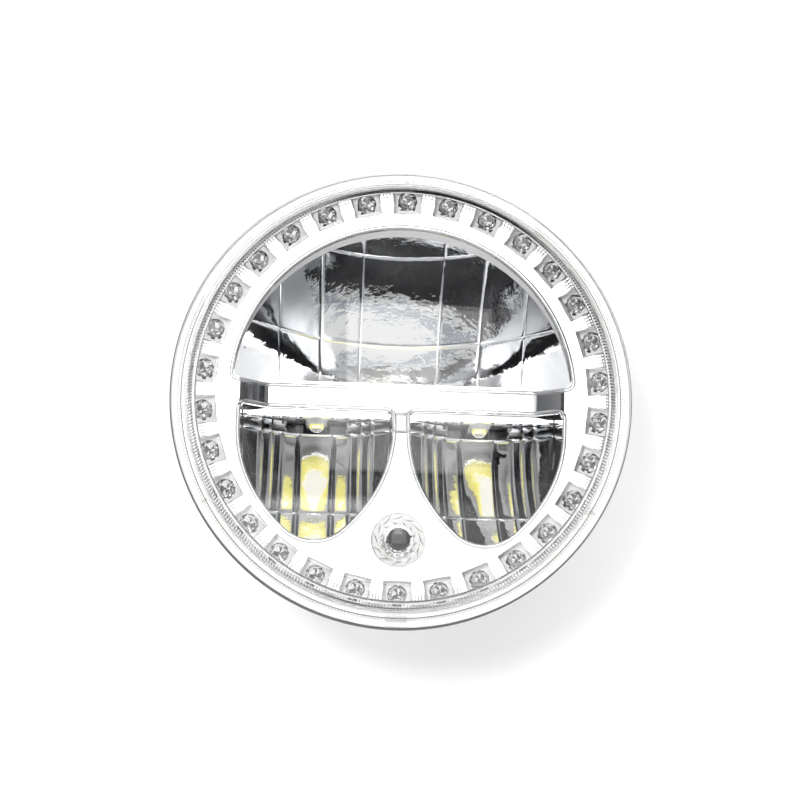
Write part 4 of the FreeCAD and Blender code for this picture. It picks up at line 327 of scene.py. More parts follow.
# Moulded plastic and rubber
# White sockets, terminal and light can; black chips, choke and gland; white ribbons; soft grey pads
# and black seals. Each is moulded, with a faint skin. The capacitors' cans are aluminium.
WHITE_PLASTIC = grained("white plastic", (0.76, 0.76, 0.74), (0.84, 0.84, 0.82), (0.3, 0.42))
BLACK_PLASTIC = grained("black plastic", (0.018, 0.018, 0.02), (0.035, 0.035, 0.037), (0.38, 0.55))
BLACK_RUBBER = grained("black rubber", (0.02, 0.02, 0.021), (0.033, 0.033, 0.034), (0.6, 0.78))
GREY_PAD = grained("grey pad", (0.34, 0.37, 0.40), (0.42, 0.45, 0.48), (0.6, 0.75))
RIBBON = grained("white ribbon", (0.72, 0.72, 0.70), (0.80, 0.80, 0.78), (0.35, 0.5))
dress(WHITE_PLASTIC, "position_can", "ribbon_sockets", "supply_terminal")
dress(BLACK_PLASTIC, "driver_choke", "driver_chips", "gland_body", "gland_locknut", "gland_cap", "vent_plug")
dress(BLACK_RUBBER, "cover_gasket", "gland_seal")
dress(GREY_PAD, "thermal_pads")
dress(RIBBON, "upper_ribbon", "lower_left_ribbon", "lower_right_ribbon", "ring_ribbon", "position_ribbon")
dress(ALUMINIUM, "driver_capacitors")


# Main LEDs
# A white ceramic base with a yellow phosphor spot under a clear silicone dome, soldered at the focus
# of its reflector. The phosphor and die carry a faint painted glow, though the LEDs are not lit.
LED_TOP = 6.1 * MM
LED_SIDE = 6.6 * MM
LED_BASE = 1.0 * MM
LED_DOME = 3.1 * MM
UPPER_FOCUS = 27.26 * MM
LOWER_FOCUS = 26.22 * MM
BOWL_CENTRE = 32.4 * MM


def to_mesh(bm, name):
    """The mesh of what was drawn, which is then freed."""
    mesh = bpy.data.meshes.new(name)
    bm.to_mesh(mesh)
    bm.free()
    return mesh


def finish_piece(bm, name, material, smooth=30.0):
    """Makes the finished object of a mesh, smooth up to an angle, and lets it ride on the lamp."""
    mesh = to_mesh(bm, name)
    mesh.materials.append(material)
    for polygon in mesh.polygons:
        polygon.use_smooth = smooth > 0
    if smooth > 0:
        mesh.set_sharp_from_angle(angle=math.radians(smooth))
    piece = bpy.data.objects.new(name, mesh)
    bpy.context.scene.collection.objects.link(piece)
    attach(piece, "root")
    return piece


def phosphor(name, dark, pale):
    material, tree, shader = new_material(name)
    skin = grain(tree, 2600.0, 700.0, 0.5)
    tint = shades(tree, skin.outputs["Broad"], dark, pale)
    # Painted light: the phosphor glows a little, though the LEDs are not lit.
    shader.inputs["Emission Strength"].default_value = 0.7
    feed(tree, Base_Color=tint, Emission_Color=tint, Roughness=spread(tree, skin.outputs["Fine"], 0.3, 0.45))
    return material


def box_between(bm, low, high):
    """A closed box between two corners; returns its corner points."""
    size = Vector(high) - Vector(low)
    place = Matrix.Translation((Vector(high) + Vector(low)) / 2) @ Matrix.Diagonal((*size, 1.0))
    return bmesh.ops.create_cube(bm, size=1.0, matrix=place)["verts"]


def main_led(name, middle, depth, side):
    """Base, phosphor, die and dome of one main LED; the side is 1 above the plate and -1 below."""
    for layer, material, half, foot, top in (
            ("ceramic", CERAMIC, LED_SIDE / 2, 0.0, LED_BASE),
            ("phosphor", PHOSPHOR, 2.1 * MM, LED_BASE, LED_BASE + 0.35 * MM),
            ("die", PALE_PHOSPHOR, 1.1 * MM, LED_BASE + 0.3 * MM, LED_BASE + 0.5 * MM)):
        bm = bmesh.new()
        low, high = sorted((side * (LED_TOP + foot), side * (LED_TOP + top)))
        box_between(bm, (middle - half, depth - half, low), (middle + half, depth + half, high))
        if layer == "ceramic":
            bmesh.ops.bevel(bm, geom=bm.edges[:], offset=0.15 * MM, segments=2, profile=0.5,
                            affect="EDGES", material=-1)
        finish_piece(bm, f"{name}_{layer}", material)
    bm = bmesh.new()
    bmesh.ops.create_uvsphere(bm, u_segments=48, v_segments=24, radius=LED_DOME)
    bmesh.ops.bisect_plane(bm, geom=bm.verts[:] + bm.edges[:] + bm.faces[:], plane_co=(0, 0, 0),
                           plane_no=(0, 0, side), clear_inner=True)
    bmesh.ops.holes_fill(bm, edges=[edge for edge in bm.edges if edge.is_boundary])
    bmesh.ops.translate(bm, verts=bm.verts, vec=(middle, depth, side * (LED_TOP + LED_BASE + 0.01 * MM)))
    bmesh.ops.recalc_face_normals(bm, faces=bm.faces)
    dome = finish_piece(bm, f"{name}_dome", CLEAR_SILICONE)
    dome.visible_shadow = False
    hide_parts(f"{name}_led")


def clear_moulding(name, tint, index, rough):
    """Clear plastic or silicone with a very faint skin."""
    material, tree, shader = new_material(name)
    skin = grain(tree, 1200.0, 25.0, 0.05)
    shader.inputs["Base Color"].default_value = (*tint, 1.0)
    shader.inputs["Transmission Weight"].default_value = 1.0
    shader.inputs["IOR"].default_value = index
    feed(tree, Roughness=spread(tree, skin.outputs["Fine"], 0.0, rough),
         Normal=bump(tree, skin.outputs["Height"], 0.02, 0.1 * MM))
    return material


CERAMIC = grained("white ceramic", (0.80, 0.80, 0.78), (0.87, 0.87, 0.85), (0.3, 0.4))
PHOSPHOR = phosphor("yellow phosphor", (0.86, 0.78, 0.20), (0.95, 0.90, 0.38))
PALE_PHOSPHOR = phosphor("pale phosphor", (0.92, 0.91, 0.80), (0.98, 0.97, 0.90))
CLEAR_SILICONE = clear_moulding("clear silicone", (1.0, 0.99, 0.95), 1.45, 0.02)
main_led("upper", 0.0, UPPER_FOCUS, 1)
main_led("lower_left", -BOWL_CENTRE, LOWER_FOCUS, -1)
main_led("lower_right", BOWL_CENTRE, LOWER_FOCUS, -1)
dress(CERAMIC, "ring_leds", "position_led")


# Upper reflector
# Half a parabolic dish of metallised plastic over the LED plate. Its mirror is cut in columns and rows
# of facets with rounded edges between them. It is screwed to the plate and behind the bezel.
DISH_VERTEX = 47.5 * MM
DISH_FOCAL = 20.24 * MM
DISH_AXIS = 6.0 * MM
DISH_RADIUS = 65.25 * MM
DISH_FOOT = 4.6 * MM
FACET_EDGE = 0.8 * MM
FACET_RISE = 0.12 * MM
SKIN_LIFT = 0.25 * MM


def metallised(name, waves, rough):
    return grained(name, (0.86, 0.865, 0.875), (0.91, 0.915, 0.925), rough,
                   grains=(900.0, 110.0, 0.04), relief=(waves, 0.3), metallic=1.0)


def corners_of(grown):
    """The corners among the parts that an operator made."""
    return [corner for corner in grown if isinstance(corner, bmesh.types.BMVert)]


def grow_skirt(bm, grid):
    """Extrudes the open edges of a grid and returns the new corners."""
    edges = {edge for vertex in grid for edge in vertex.link_edges if edge.is_boundary}
    return corners_of(bmesh.ops.extrude_edge_only(bm, edges=list(edges))["geom"])


def facet(bm, across, up, low, high, depth, rows, edge=FACET_EDGE, rise=FACET_RISE):
    """One tile of a mirror between two columns and two rows, clipped to an outline, with short sides."""
    left, right = across
    foot, crest = up
    span = max(4, int((right - left) / (0.7 * MM)))
    grid = bmesh.ops.create_grid(bm, x_segments=span, y_segments=rows, size=0.5)["verts"]
    for vertex in grid:
        u = 0.5 - 0.5 * math.cos(math.pi * (vertex.co.x + 0.5))
        w = 0.5 - 0.5 * math.cos(math.pi * (vertex.co.y + 0.5))
        x = left + u * (right - left)
        bottom = max(foot, low(x))
        top = max(bottom + 0.01 * MM, min(crest, high(x)))
        z = bottom + w * (top - bottom)
        near = min(x - left, right - x, z - foot, crest - z)
        rounding = rise * max(0.0, 1 - near / edge) ** 2
        vertex.co = (x, depth(x, z) - rounding, z)
    bmesh.ops.translate(bm, verts=grow_skirt(bm, grid), vec=(0, 2.4 * MM, 0))


def upper_mirror(material):
    bm = bmesh.new()
    columns = [-1, -48 * MM, -32 * MM, -16 * MM, 16 * MM, 32 * MM, 48 * MM, 1]
    rows = [DISH_FOOT, 28.5 * MM, 58.5 * MM, 1]

    def depth(x, z):
        return DISH_VERTEX - (x * x + (z - DISH_AXIS) ** 2) / (4 * DISH_FOCAL) - SKIN_LIFT

    def crown(x):
        return math.sqrt(max(0.0, DISH_RADIUS ** 2 - x * x))

    for foot, crest in zip(rows, rows[1:]):
        reach = math.sqrt(DISH_RADIUS ** 2 - foot ** 2) - 0.05 * MM
        for left, right in zip(columns, columns[1:]):
            start, end = max(left, -reach), min(right, reach)
            if end - start >= 1 * MM:
                facet(bm, (start, end), (foot, crest), lambda x: foot, crown, depth, 28)
    piece = finish_piece(bm, "upper_mirror", material, smooth=25)


def upper_wall(material):
    """The dish's short side wall behind the bezel, as a thin skin with a rounded front edge, painted pale as
    painted reflection.
    """
    bm = bmesh.new()
    radius = DISH_RADIUS - 0.15 * MM
    start = math.asin(7 * MM / radius)
    path = [bm.verts.new((radius * math.cos(start), depth * MM, radius * math.sin(start)))
            for depth in (-6.7, -6.4, -3.0, 0.5, 3.8)]
    line = [bm.edges.new(pair) for pair in zip(path, path[1:])]
    bmesh.ops.spin(bm, geom=path + line, cent=(0, 0, 0), axis=(0, 1, 0), dvec=(0, 0, 0),
                   angle=-(math.pi - 2 * start), steps=120, use_duplicate=False)
    bmesh.ops.recalc_face_normals(bm, faces=bm.faces)
    for face in bm.faces:
        if face.normal.dot(face.calc_center_median()) > 0:
            face.normal_flip()
    piece = finish_piece(bm, "upper_wall", material, smooth=30)


CHROME = metallised("bright metallised moulding", 0.10, (0.015, 0.045))
MIRROR = metallised("waved metallised mirror", 0.30, (0.01, 0.04))
dress(CHROME, "upper_reflector")
upper_mirror(MIRROR)
# Painted reflection: the wall is pale and diffuse, standing in for the bright band a metallised wall shows.
upper_wall(grained("wall painted pale as reflection", (0.86, 0.86, 0.86), (0.93, 0.93, 0.93), (0.2, 0.3)))


# Lower reflectors
# Two half bowls of metallised plastic under the LED plate, each with upright flutes and one cross
# step, and a slot at the back where the LED's ribbon leaves.
BOWL_VERTEX = 39.5 * MM
BOWL_FOCAL = 13.28 * MM
BOWL_AXIS = -8.0 * MM
BOWL_HALF = 29.2 * MM
BOWL_ARCS = ((0.0, -40.3, 16.15), (-27.23, -8.98, 57.65), (-19.44, -13.48, 48.65))
BOWL_TURNS = (10.6, 22.7)
BELLY_REACH = 22.5 * MM
FLUTE_LIFT = 1.8 * MM


def bowl_low(x):
    """Height of the outline's lower edge at a distance from the middle of the bowl."""
    across = abs(x) / MM
    number = 0 if across < BOWL_TURNS[0] else 1 if across < BOWL_TURNS[1] else 2
    centre, level, radius = BOWL_ARCS[number]
    return (level - math.sqrt(max(0.0, radius ** 2 - (across - centre) ** 2))) * MM


def bowl_reach(level):
    """How far the outline reaches from the middle of the bowl at a height."""
    near, far = 0.0, BOWL_HALF
    for _ in range(40):
        half = (near + far) / 2
        near, far = (half, far) if bowl_low(half) < level else (near, half)
    return near


def lower_mirror(name, side, material):
    bm = bmesh.new()
    flutes = [6.8 * MM, 13.7 * MM, 17.9 * MM, 21.8 * MM, 1]
    sides = flutes[2:]
    slot = 12 * MM
    # The edges of each row from the lowest, with its lean, and its edges of columns on one side
    rows = ((-1, -44 * MM, -0.19, flutes), (-44 * MM, -9 * MM, 0.0, flutes),
            (-9 * MM, -4.6 * MM, 0.0, [slot, *sides]))
    aside = 0.2
    hollow = 3.5
    for foot, crest, lean, edges in rows:
        reach = min(bowl_reach(crest), BOWL_HALF) - 0.05 * MM
        places = [-place for place in reversed(edges)] + edges
        for left, right in zip(places, places[1:]):
            start, end = max(left, -reach), min(right, reach)
            if end - start < 0.6 * MM or left == -slot:
                continue
            middle = (start + end) / 2
            level = (max(foot, bowl_low(middle)) + crest) / 2
            outer = abs(middle) > 13.7 * MM
            turned = math.copysign(aside, middle) if outer else 0.0
            bulge = -15.0 if outer else -9.0
            sunk = -28 * MM - 0.8 * abs(middle)
            pointed = 0.5 if abs(middle) < 1 * MM else 0.0

            def depth(x, z):
                bowl = BOWL_VERTEX - (x * x + (z - BOWL_AXIS) ** 2) / (4 * BOWL_FOCAL)
                below = min(z - sunk + pointed * abs(x), BELLY_REACH)
                belly = 0.0 if outer or lean else hollow * below ** 2
                sway = turned * (x - middle) + bulge * (x - middle) ** 2
                return bowl - FLUTE_LIFT + lean * (z - level) + sway + belly

            facet(bm, (start, end), (foot, crest), bowl_low, lambda x: crest, depth,
                  6 if edges[0] == slot else 28, edge=1.2 * MM, rise=0.35 * MM)
    bmesh.ops.translate(bm, verts=bm.verts, vec=(side * BOWL_CENTRE, 0, 0))
    piece = finish_piece(bm, name, material, smooth=25)


dress(CHROME, "lower_left_reflector", "lower_right_reflector")
lower_mirror("lower_left_mirror", -1, MIRROR)
lower_mirror("lower_right_mirror", 1, MIRROR)


# Bezel
# One metallised moulding, screwed on from behind: a toothed face with thirty windows, beads round its
# openings, and a bar set back between two ramps, with the foot of the web that divides the lower
# openings. A narrow ring behind the tooth ends closes the gap to the lens.
FACE = -9.0 * MM
BAR_FACE = 0.5 * MM
BAR_FLAT = 51.5 * MM
RAMP_END = 62.0 * MM
WEB_TOP = -4.8 * MM
WEB_FOOT = -14.1 * MM
WEB_HALF = 3.44 * MM
BEZEL_WALL = 2.0 * MM
TOOTH_END = 79.3 * MM
TOOTH_CHAMFER = 75.4 * MM
WINDOW_FLOOR = 71.1 * MM
WINDOW_HALF = 5.1 * MM
WINDOWS = STONES
RIBS = 5
RIB_RISE = 0.05 * MM
BEAD = 0.8 * MM
BEAD_RISE = 0.3 * MM
POSITION_DROP = -55.5 * MM
POSITION_BORE = 10.4 * MM
DOME_RADIUS = 65.0 * MM


def face_depth(x, z):
    """Depth of the bezel's skin: its face, or the bar, the ramps and the web's foot set back from it."""
    across = abs(x)
    bar = BAR_FACE + (FACE - BAR_FACE) * min(1.0, max(0.0, (across - BAR_FLAT) / (RAMP_END - BAR_FLAT)))
    if abs(z) <= -WEB_TOP + 0.01 * MM:
        return bar
    if across < 8 * MM and WEB_FOOT < z < 0:
        return FACE + (BAR_FACE - FACE) * (z - WEB_FOOT) / (WEB_TOP - WEB_FOOT)
    if across > 8 * MM and abs(z) < 9 * MM:
        fade = (abs(z) + WEB_TOP) / (4.2 * MM)
        return bar + (FACE - bar) * min(1.0, fade)
    return FACE


def arc_points(centre, radius, start, end, steps):
    """Points on an arc in the face's plane, from one angle in degrees to another."""
    turns = [math.radians(start + (end - start) * number / steps) for number in range(steps + 1)]
    return [(centre[0] + radius * math.cos(turn), centre[1] + radius * math.sin(turn)) for turn in turns]


def dome_outline(grow, base):
    """Upper opening, grown outward, anticlockwise from the right end of its straight edge."""
    corner = 3.0 * MM
    radius = DOME_RADIUS + grow
    inner = radius - corner
    up = base + corner
    across = math.sqrt(inner ** 2 - up ** 2)
    lean = math.degrees(math.atan2(up, across))
    right = arc_points((across, up), corner, -90, lean, 8)
    top = arc_points((0, 0), radius, lean, 180 - lean, 96)
    left = arc_points((-across, up), corner, 180 - lean, 270, 8)
    straight = [(-across + 2 * across * number / 60, base) for number in range(1, 60)]
    return right + top[1:] + left[1:] + straight


def bowl_outline(side, grow, top):
    """Lower opening on one side, grown outward, anticlockwise."""
    half = []
    for (start, end), (across, up, radius) in zip(((0, 41), (41, 60), (60, 90)), BOWL_ARCS):
        radius = (radius - 0.25) * MM + grow
        half += arc_points((across * MM, up * MM), radius, start - 90, end - 90, 20)[:-1]
    edge = 28.96 * MM + grow
    corner = 2.4 * MM + grow
    half += [(edge, -13.48 * MM + (-top - corner + 13.48 * MM) * number / 6) for number in range(6)]
    half += arc_points((edge - corner, -top - corner), corner, 0, 90, 8)
    inner = edge - corner
    straight = [(inner - 2 * inner * number / 40, -top) for number in range(1, 40)]
    mirrored = [(-x, z) for x, z in reversed(half[1:])]
    return [(x + side * BOWL_CENTRE, z) for x, z in half + straight + mirrored]


def tooth_edge(index):
    """Root line of a tooth on the chamfer's circle, between the windows before and after it."""
    pitch = 360.0 / WINDOWS
    gap = math.degrees(math.asin(WINDOW_HALF / TOOTH_CHAMFER))
    start = 90 - index * pitch - gap
    return arc_points((0, 0), TOOTH_CHAMFER, start, start - pitch + 2 * gap, 20)


def window_corner(index, side):
    """Inner corner of a window, right (1) or left (-1) of its middle line."""
    turn = math.radians(index * 360.0 / WINDOWS)
    return (WINDOW_FLOOR * math.sin(turn) + side * WINDOW_HALF * math.cos(turn),
            WINDOW_FLOOR * math.cos(turn) - side * WINDOW_HALF * math.sin(turn))


def add_loop(bm, corners):
    """Draws a closed line through corners and returns its edges."""
    points = [bm.verts.new(corner) for corner in corners]
    return [bm.edges.new(pair) for pair in zip(points, points[1:] + points[:1])]


def bezel_plate(bm):
    """Toothed plate with its openings, 2 mm thick, with rounded front edges."""
    outer = []
    for index in range(WINDOWS):
        outer += [window_corner(index, 1), *tooth_edge(index), window_corner(index + 1, -1)]
    arc = [place for place in dome_outline(0.0, -WEB_TOP) if place[1] > -WEB_TOP + 1e-7]
    left = bowl_outline(-1, 0.0, -WEB_TOP)
    outer_side = [place for place in left if place[0] < -BOWL_CENTRE and place[1] < WEB_TOP - 1e-7]
    outer_side.sort(key=lambda place: -place[1])
    inner_side = [place for place in left if place[0] >= -BOWL_CENTRE and place[1] < WEB_FOOT]
    inner_side.sort(key=lambda place: place[1])
    half = [(-RAMP_END, WEB_TOP), *outer_side, *inner_side, (-WEB_HALF, WEB_FOOT)]
    mirrored = [(-x, z) for x, z in reversed(half)]
    inner = [*arc, (-RAMP_END, -WEB_TOP), *half, *mirrored, (RAMP_END, -WEB_TOP)]
    hole = arc_points((0, POSITION_DROP), POSITION_BORE, 0, 360, 72)[:-1]
    edges = []
    for loop in (outer, inner, hole):
        edges += add_loop(bm, [(x, FACE, z) for x, z in loop])
    bmesh.ops.triangle_fill(bm, edges=edges, use_beauty=True, use_dissolve=False, normal=(0, -1, 0))
    rims = [edge for edge in bm.edges if edge.is_boundary]
    back = corners_of(bmesh.ops.extrude_edge_only(bm, edges=rims)["geom"])
    bmesh.ops.translate(bm, verts=back, vec=(0, BEZEL_WALL, 0))
    bmesh.ops.recalc_face_normals(bm, faces=bm.faces)
    rounded = []
    for edge in rims:
        reaches = [math.hypot(vertex.co.x, vertex.co.z) for vertex in edge.verts]
        at_tip = all(abs(reach - TOOTH_CHAMFER) < 0.05 * MM for reach in reaches)
        if min(reaches) > WINDOW_FLOOR - 0.5 * MM and not at_tip:
            rounded.append(edge)
    bmesh.ops.bevel(bm, geom=rounded, offset=0.5 * MM, segments=2, profile=0.5, affect="EDGES",
                    material=-1, clamp_overlap=True)


def copy_round(bm, parts, count):
    """Repeats a part round the lamp's axis, up to a count in all."""
    bmesh.ops.spin(bm, geom=parts, cent=(0, 0, 0), axis=(0, 1, 0), dvec=(0, 0, 0),
                   angle=math.tau * (count - 1) / count, steps=count - 1, use_duplicate=True)


def tooth_tips(bm):
    """Sloping ends of the teeth, each with five short ribs."""
    grid = bmesh.ops.create_grid(bm, x_segments=60, y_segments=6, size=0.5)["verts"]
    pitch = 360.0 / WINDOWS
    for vertex in grid:
        u = vertex.co.x + 0.5
        w = vertex.co.y + 0.5
        radius = TOOTH_CHAMFER + w * (TOOTH_END - TOOTH_CHAMFER)
        gap = math.degrees(math.asin(WINDOW_HALF / radius))
        turn = math.radians(gap + u * (pitch - 2 * gap))
        rib = RIB_RISE * max(0.0, math.cos(math.tau * (RIBS * u - 0.5))) ** 2 * min(1.0, 6 * w, 6 - 6 * w)
        edge = 0.5 * MM * max(0.0, 1 - min(u, 1 - u) / 0.06) ** 2
        vertex.co = (radius * math.sin(turn), FACE + 0.1 * MM * w - rib + edge, radius * math.cos(turn))
    skirt = grow_skirt(bm, grid)
    for vertex in skirt:
        vertex.co.y = FACE + 2.6 * MM
    tooth = [*grid, *skirt]
    parts = set(tooth)
    for vertex in tooth:
        parts.update(vertex.link_edges)
        parts.update(vertex.link_faces)
    copy_round(bm, list(parts), WINDOWS)


def run_to(bm, start, place):
    """Draws a straight run from a point to a place and returns its end."""
    end = bmesh.ops.extrude_vert_indiv(bm, verts=[start])["verts"][0]
    end.co = place
    return end


def bar_skin(bm):
    """Bar, ramps and web foot, bent from one strip, 2 mm thick."""
    half = -WEB_TOP - 0.1 * MM
    stations = [-RAMP_END - 1.5 * MM, -RAMP_END]
    stations += [-BAR_FLAT - 1.2 * MM, -BAR_FLAT - 0.4 * MM, -BAR_FLAT + 0.4 * MM]
    stations += [-place for place in reversed(stations)]
    start = bm.verts.new((stations[0], FACE + 0.02 * MM, -half))
    for place in stations[1:]:
        start = run_to(bm, start, (place, face_depth(place, 0.0) + 0.02 * MM, -half))
    grown = bmesh.ops.extrude_edge_only(bm, edges=bm.edges[:])["geom"]
    bmesh.ops.translate(bm, verts=corners_of(grown), vec=(0, 0, 2 * half))
    foot = [bm.verts.new(place) for place in (
        (-WEB_HALF, FACE, WEB_FOOT - 0.5 * MM), (WEB_HALF, FACE, WEB_FOOT - 0.5 * MM),
        (WEB_HALF, FACE, WEB_FOOT), (-WEB_HALF, FACE, WEB_FOOT),
        (WEB_HALF, BAR_FACE, WEB_TOP + 0.2 * MM), (-WEB_HALF, BAR_FACE, WEB_TOP + 0.2 * MM))]
    bm.faces.new((foot[0], foot[1], foot[2], foot[3]))
    bm.faces.new((foot[3], foot[2], foot[4], foot[5]))
    skin = bm.faces[:]
    bmesh.ops.recalc_face_normals(bm, faces=skin)
    for face in skin:
        if face.normal.y > 0:
            face.normal_flip()
    bmesh.ops.solidify(bm, geom=skin, thickness=BEZEL_WALL)


def bead_loops(places):
    """Half-sunk round beads that follow the skin along closed outlines."""
    curve = bpy.data.curves.new("beads", "CURVE")
    curve.dimensions = "3D"
    curve.bevel_depth = BEAD
    curve.bevel_resolution = 8
    for outline in places:
        line = curve.splines.new("POLY")
        line.points.add(len(outline) - 1)
        for point, (x, z) in zip(line.points, outline):
            point.co = (x, face_depth(x, z) - BEAD_RISE, z, 1.0)
        line.use_cyclic_u = True
    draft = bpy.data.objects.new("beads", curve)
    mesh = bpy.data.meshes.new_from_object(draft)
    bpy.data.objects.remove(draft)
    bpy.data.curves.remove(curve)
    return mesh


def turn_round(bm, steps):
    """Turns the drawn profile once round the lamp's axis and closes the seam."""
    bmesh.ops.spin(bm, geom=bm.verts[:] + bm.edges[:], cent=(0, 0, 0), axis=(0, 1, 0), dvec=(0, 0, 0),
                   angle=math.tau, steps=steps, use_merge=True, use_duplicate=False)
    bmesh.ops.remove_doubles(bm, verts=bm.verts, dist=0.002 * MM)
    bmesh.ops.recalc_face_normals(bm, faces=bm.faces)


def ring_section(bm, inner, outer, front, back):
    """Draws the section of a ring round the lamp's axis."""
    add_loop(bm, ((inner, front, 0), (outer, front, 0), (outer, back, 0), (inner, back, 0)))


def closing_ring(bm):
    """Narrow ring behind the tooth ends that closes the gap to the lens."""
    ring_section(bm, 79.95 * MM, 80.9 * MM, -6.9 * MM, -6.4 * MM)
    turn_round(bm, 180)


def bezel(material):
    bm = bmesh.new()
    bezel_plate(bm)
    tooth_tips(bm)
    for build in (bar_skin, closing_ring):
        part = bmesh.new()
        build(part)
        mesh = to_mesh(part, "part")
        bm.from_mesh(mesh)
        bpy.data.meshes.remove(mesh)
    beads = bead_loops([dome_outline(BEAD, -WEB_TOP - BEAD), bowl_outline(-1, BEAD, -WEB_TOP - BEAD),
                        bowl_outline(1, BEAD, -WEB_TOP - BEAD)])
    bm.from_mesh(beads)
    bpy.data.meshes.remove(beads)
    piece = finish_piece(bm, "bezel_moulding", material, smooth=19)
    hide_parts("bezel")


bezel(CHROME)


# Screws and back cover
# Pan-head steel screws with a hexagon recess, zinc-plated, that hold plate, boards, reflectors, bezel
# and cover. The cover is cast like the housing and screwed over its back.
STEEL = grained("zinc-plated steel", (0.52, 0.53, 0.55), (0.64, 0.65, 0.67), (0.24, 0.4),
                grains=(2500.0, 200.0, 0.6), relief=(0.2, 0.04), metallic=1.0)
dress(STEEL, "cover_screws", "plate_screws", "driver_screws", "bezel_screws", "reflector_screws",
      "board_screws")
dress(CASTING, "back_cover")


# Ring of small optics
# One clear moulding: thirty cut-stone optics, each in its own window of the bezel, between two narrow
# rails that stand on the white board. Some back facets are painted black as painted dark reflection,
# more of them in the upper half.
CARRIER_INNER = 71.2 * MM
CARRIER_OUTER = 79.9 * MM
CARRIER_FRONT = -6.2 * MM
BOARD_FRONT = -3.6 * MM
STONE_RADIUS = 3.78 * MM
GIRDLE = 0.3 * MM


def swing(bm, start, centre, angle):
    """Draws an arc from a point, turned about a centre, and returns its end."""
    grown = bmesh.ops.spin(bm, geom=[start], cent=centre, axis=(0, 0, 1), dvec=(0, 0, 0),
                           angle=math.radians(angle), steps=12, use_duplicate=False)
    return corners_of(grown["geom_last"])[0]


def cut_stone(bm, sides, rings):
    """A closed cut stone round the Y axis: rings of corners with radius, depth and turn in half sides."""
    levels = []
    for radius, depth, turn in rings:
        level = []
        for number in range(sides):
            angle = math.tau * (number + turn / 2) / sides
            level.append(bm.verts.new((radius * math.sin(angle), depth, radius * math.cos(angle))))
        levels.append(level)
    for behind, ahead, (_, _, turn), (_, _, after) in zip(levels, levels[1:], rings, rings[1:]):
        for number in range(sides):
            follow = (number + 1) % sides
            if turn == after:
                bm.faces.new((behind[number], behind[follow], ahead[follow], ahead[number]))
            else:
                lean = 0 if after > turn else -1
                tip = (number + 1 + lean) % sides
                bm.faces.new((behind[number], behind[follow], ahead[tip]))
                bm.faces.new((behind[follow], ahead[(tip + 1) % sides], ahead[tip]))
    bm.faces.new(levels[0])
    bm.faces.new(levels[-1])


def ring_stones(glass, painted_dark_glass):
    bm = bmesh.new()
    widest = CARRIER_FRONT - 2.4 * MM
    cut_stone(bm, 10, (
        (0.45 * MM, widest + 2.0 * MM, 1), (2.1 * MM, widest + 1.05 * MM, 0),
        (STONE_RADIUS, widest, 1), (STONE_RADIUS, widest - GIRDLE, 1),
        (3.0 * MM, widest - 1.1 * MM, 0), (1.9 * MM, widest - 1.75 * MM, 1)))
    bmesh.ops.recalc_face_normals(bm, faces=bm.faces)
    foiled = bm.faces.layers.float.new("foiled")
    for number, face in enumerate(bm.faces):
        centre = face.calc_center_median()
        # Back facets painted dark stand in for dark reflections; more are painted in the upper half.
        share = 8 if centre.z > 0 else 4
        face[foiled] = 1.0 if centre.y > widest + 0.1 * MM and number * 7 % 10 < share else 0.0
    bmesh.ops.translate(bm, verts=bm.verts, vec=(0, 0, STONE_CIRCLE))
    copy_round(bm, bm.verts[:] + bm.edges[:] + bm.faces[:], STONES)
    piece = finish_piece(bm, "ring_stones", painted_dark_glass, smooth=0)
    bm = bmesh.new()
    front = widest - GIRDLE
    ring_section(bm, CARRIER_INNER, CARRIER_INNER + 1.1 * MM, front, BOARD_FRONT)
    ring_section(bm, CARRIER_OUTER - 0.4 * MM, CARRIER_OUTER, front, BOARD_FRONT)
    turn_round(bm, 180)
    carrier = finish_piece(bm, "ring_carrier", glass)
    for part in (piece, carrier):
        part.visible_shadow = False
    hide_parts("ring_optics")


CUT_GLASS = clear_moulding("clear cut optic", (0.985, 0.98, 0.985), 1.58, 0.01)


def glass_with_painted_dark_facets():
    """Clear optic whose chosen back facets are painted black, as painted dark reflection."""
    material = CUT_GLASS.copy()
    material.name = "foiled cut optic"
    tree = material.node_tree
    foiled = add(tree, "ShaderNodeAttribute", attribute_name="foiled").outputs["Fac"]
    feed(tree, Base_Color=ramp(tree, foiled, [(0.0, (0.985, 0.98, 0.985)), (1.0, (0.0, 0.0, 0.0))]))
    return material


ring_stones(CUT_GLASS, glass_with_painted_dark_facets())


# Position light
# A round clear optic with twelve sides in the hole under the web, held by its flange behind the
# bezel, with a small round lens in the middle. A white can behind it holds its LED.
OPTIC_SIDES = 12
OPTIC_TABLE = -12.2 * MM
LENSLET = 4.35 * MM
LENSLET_RISE = 0.5 * MM


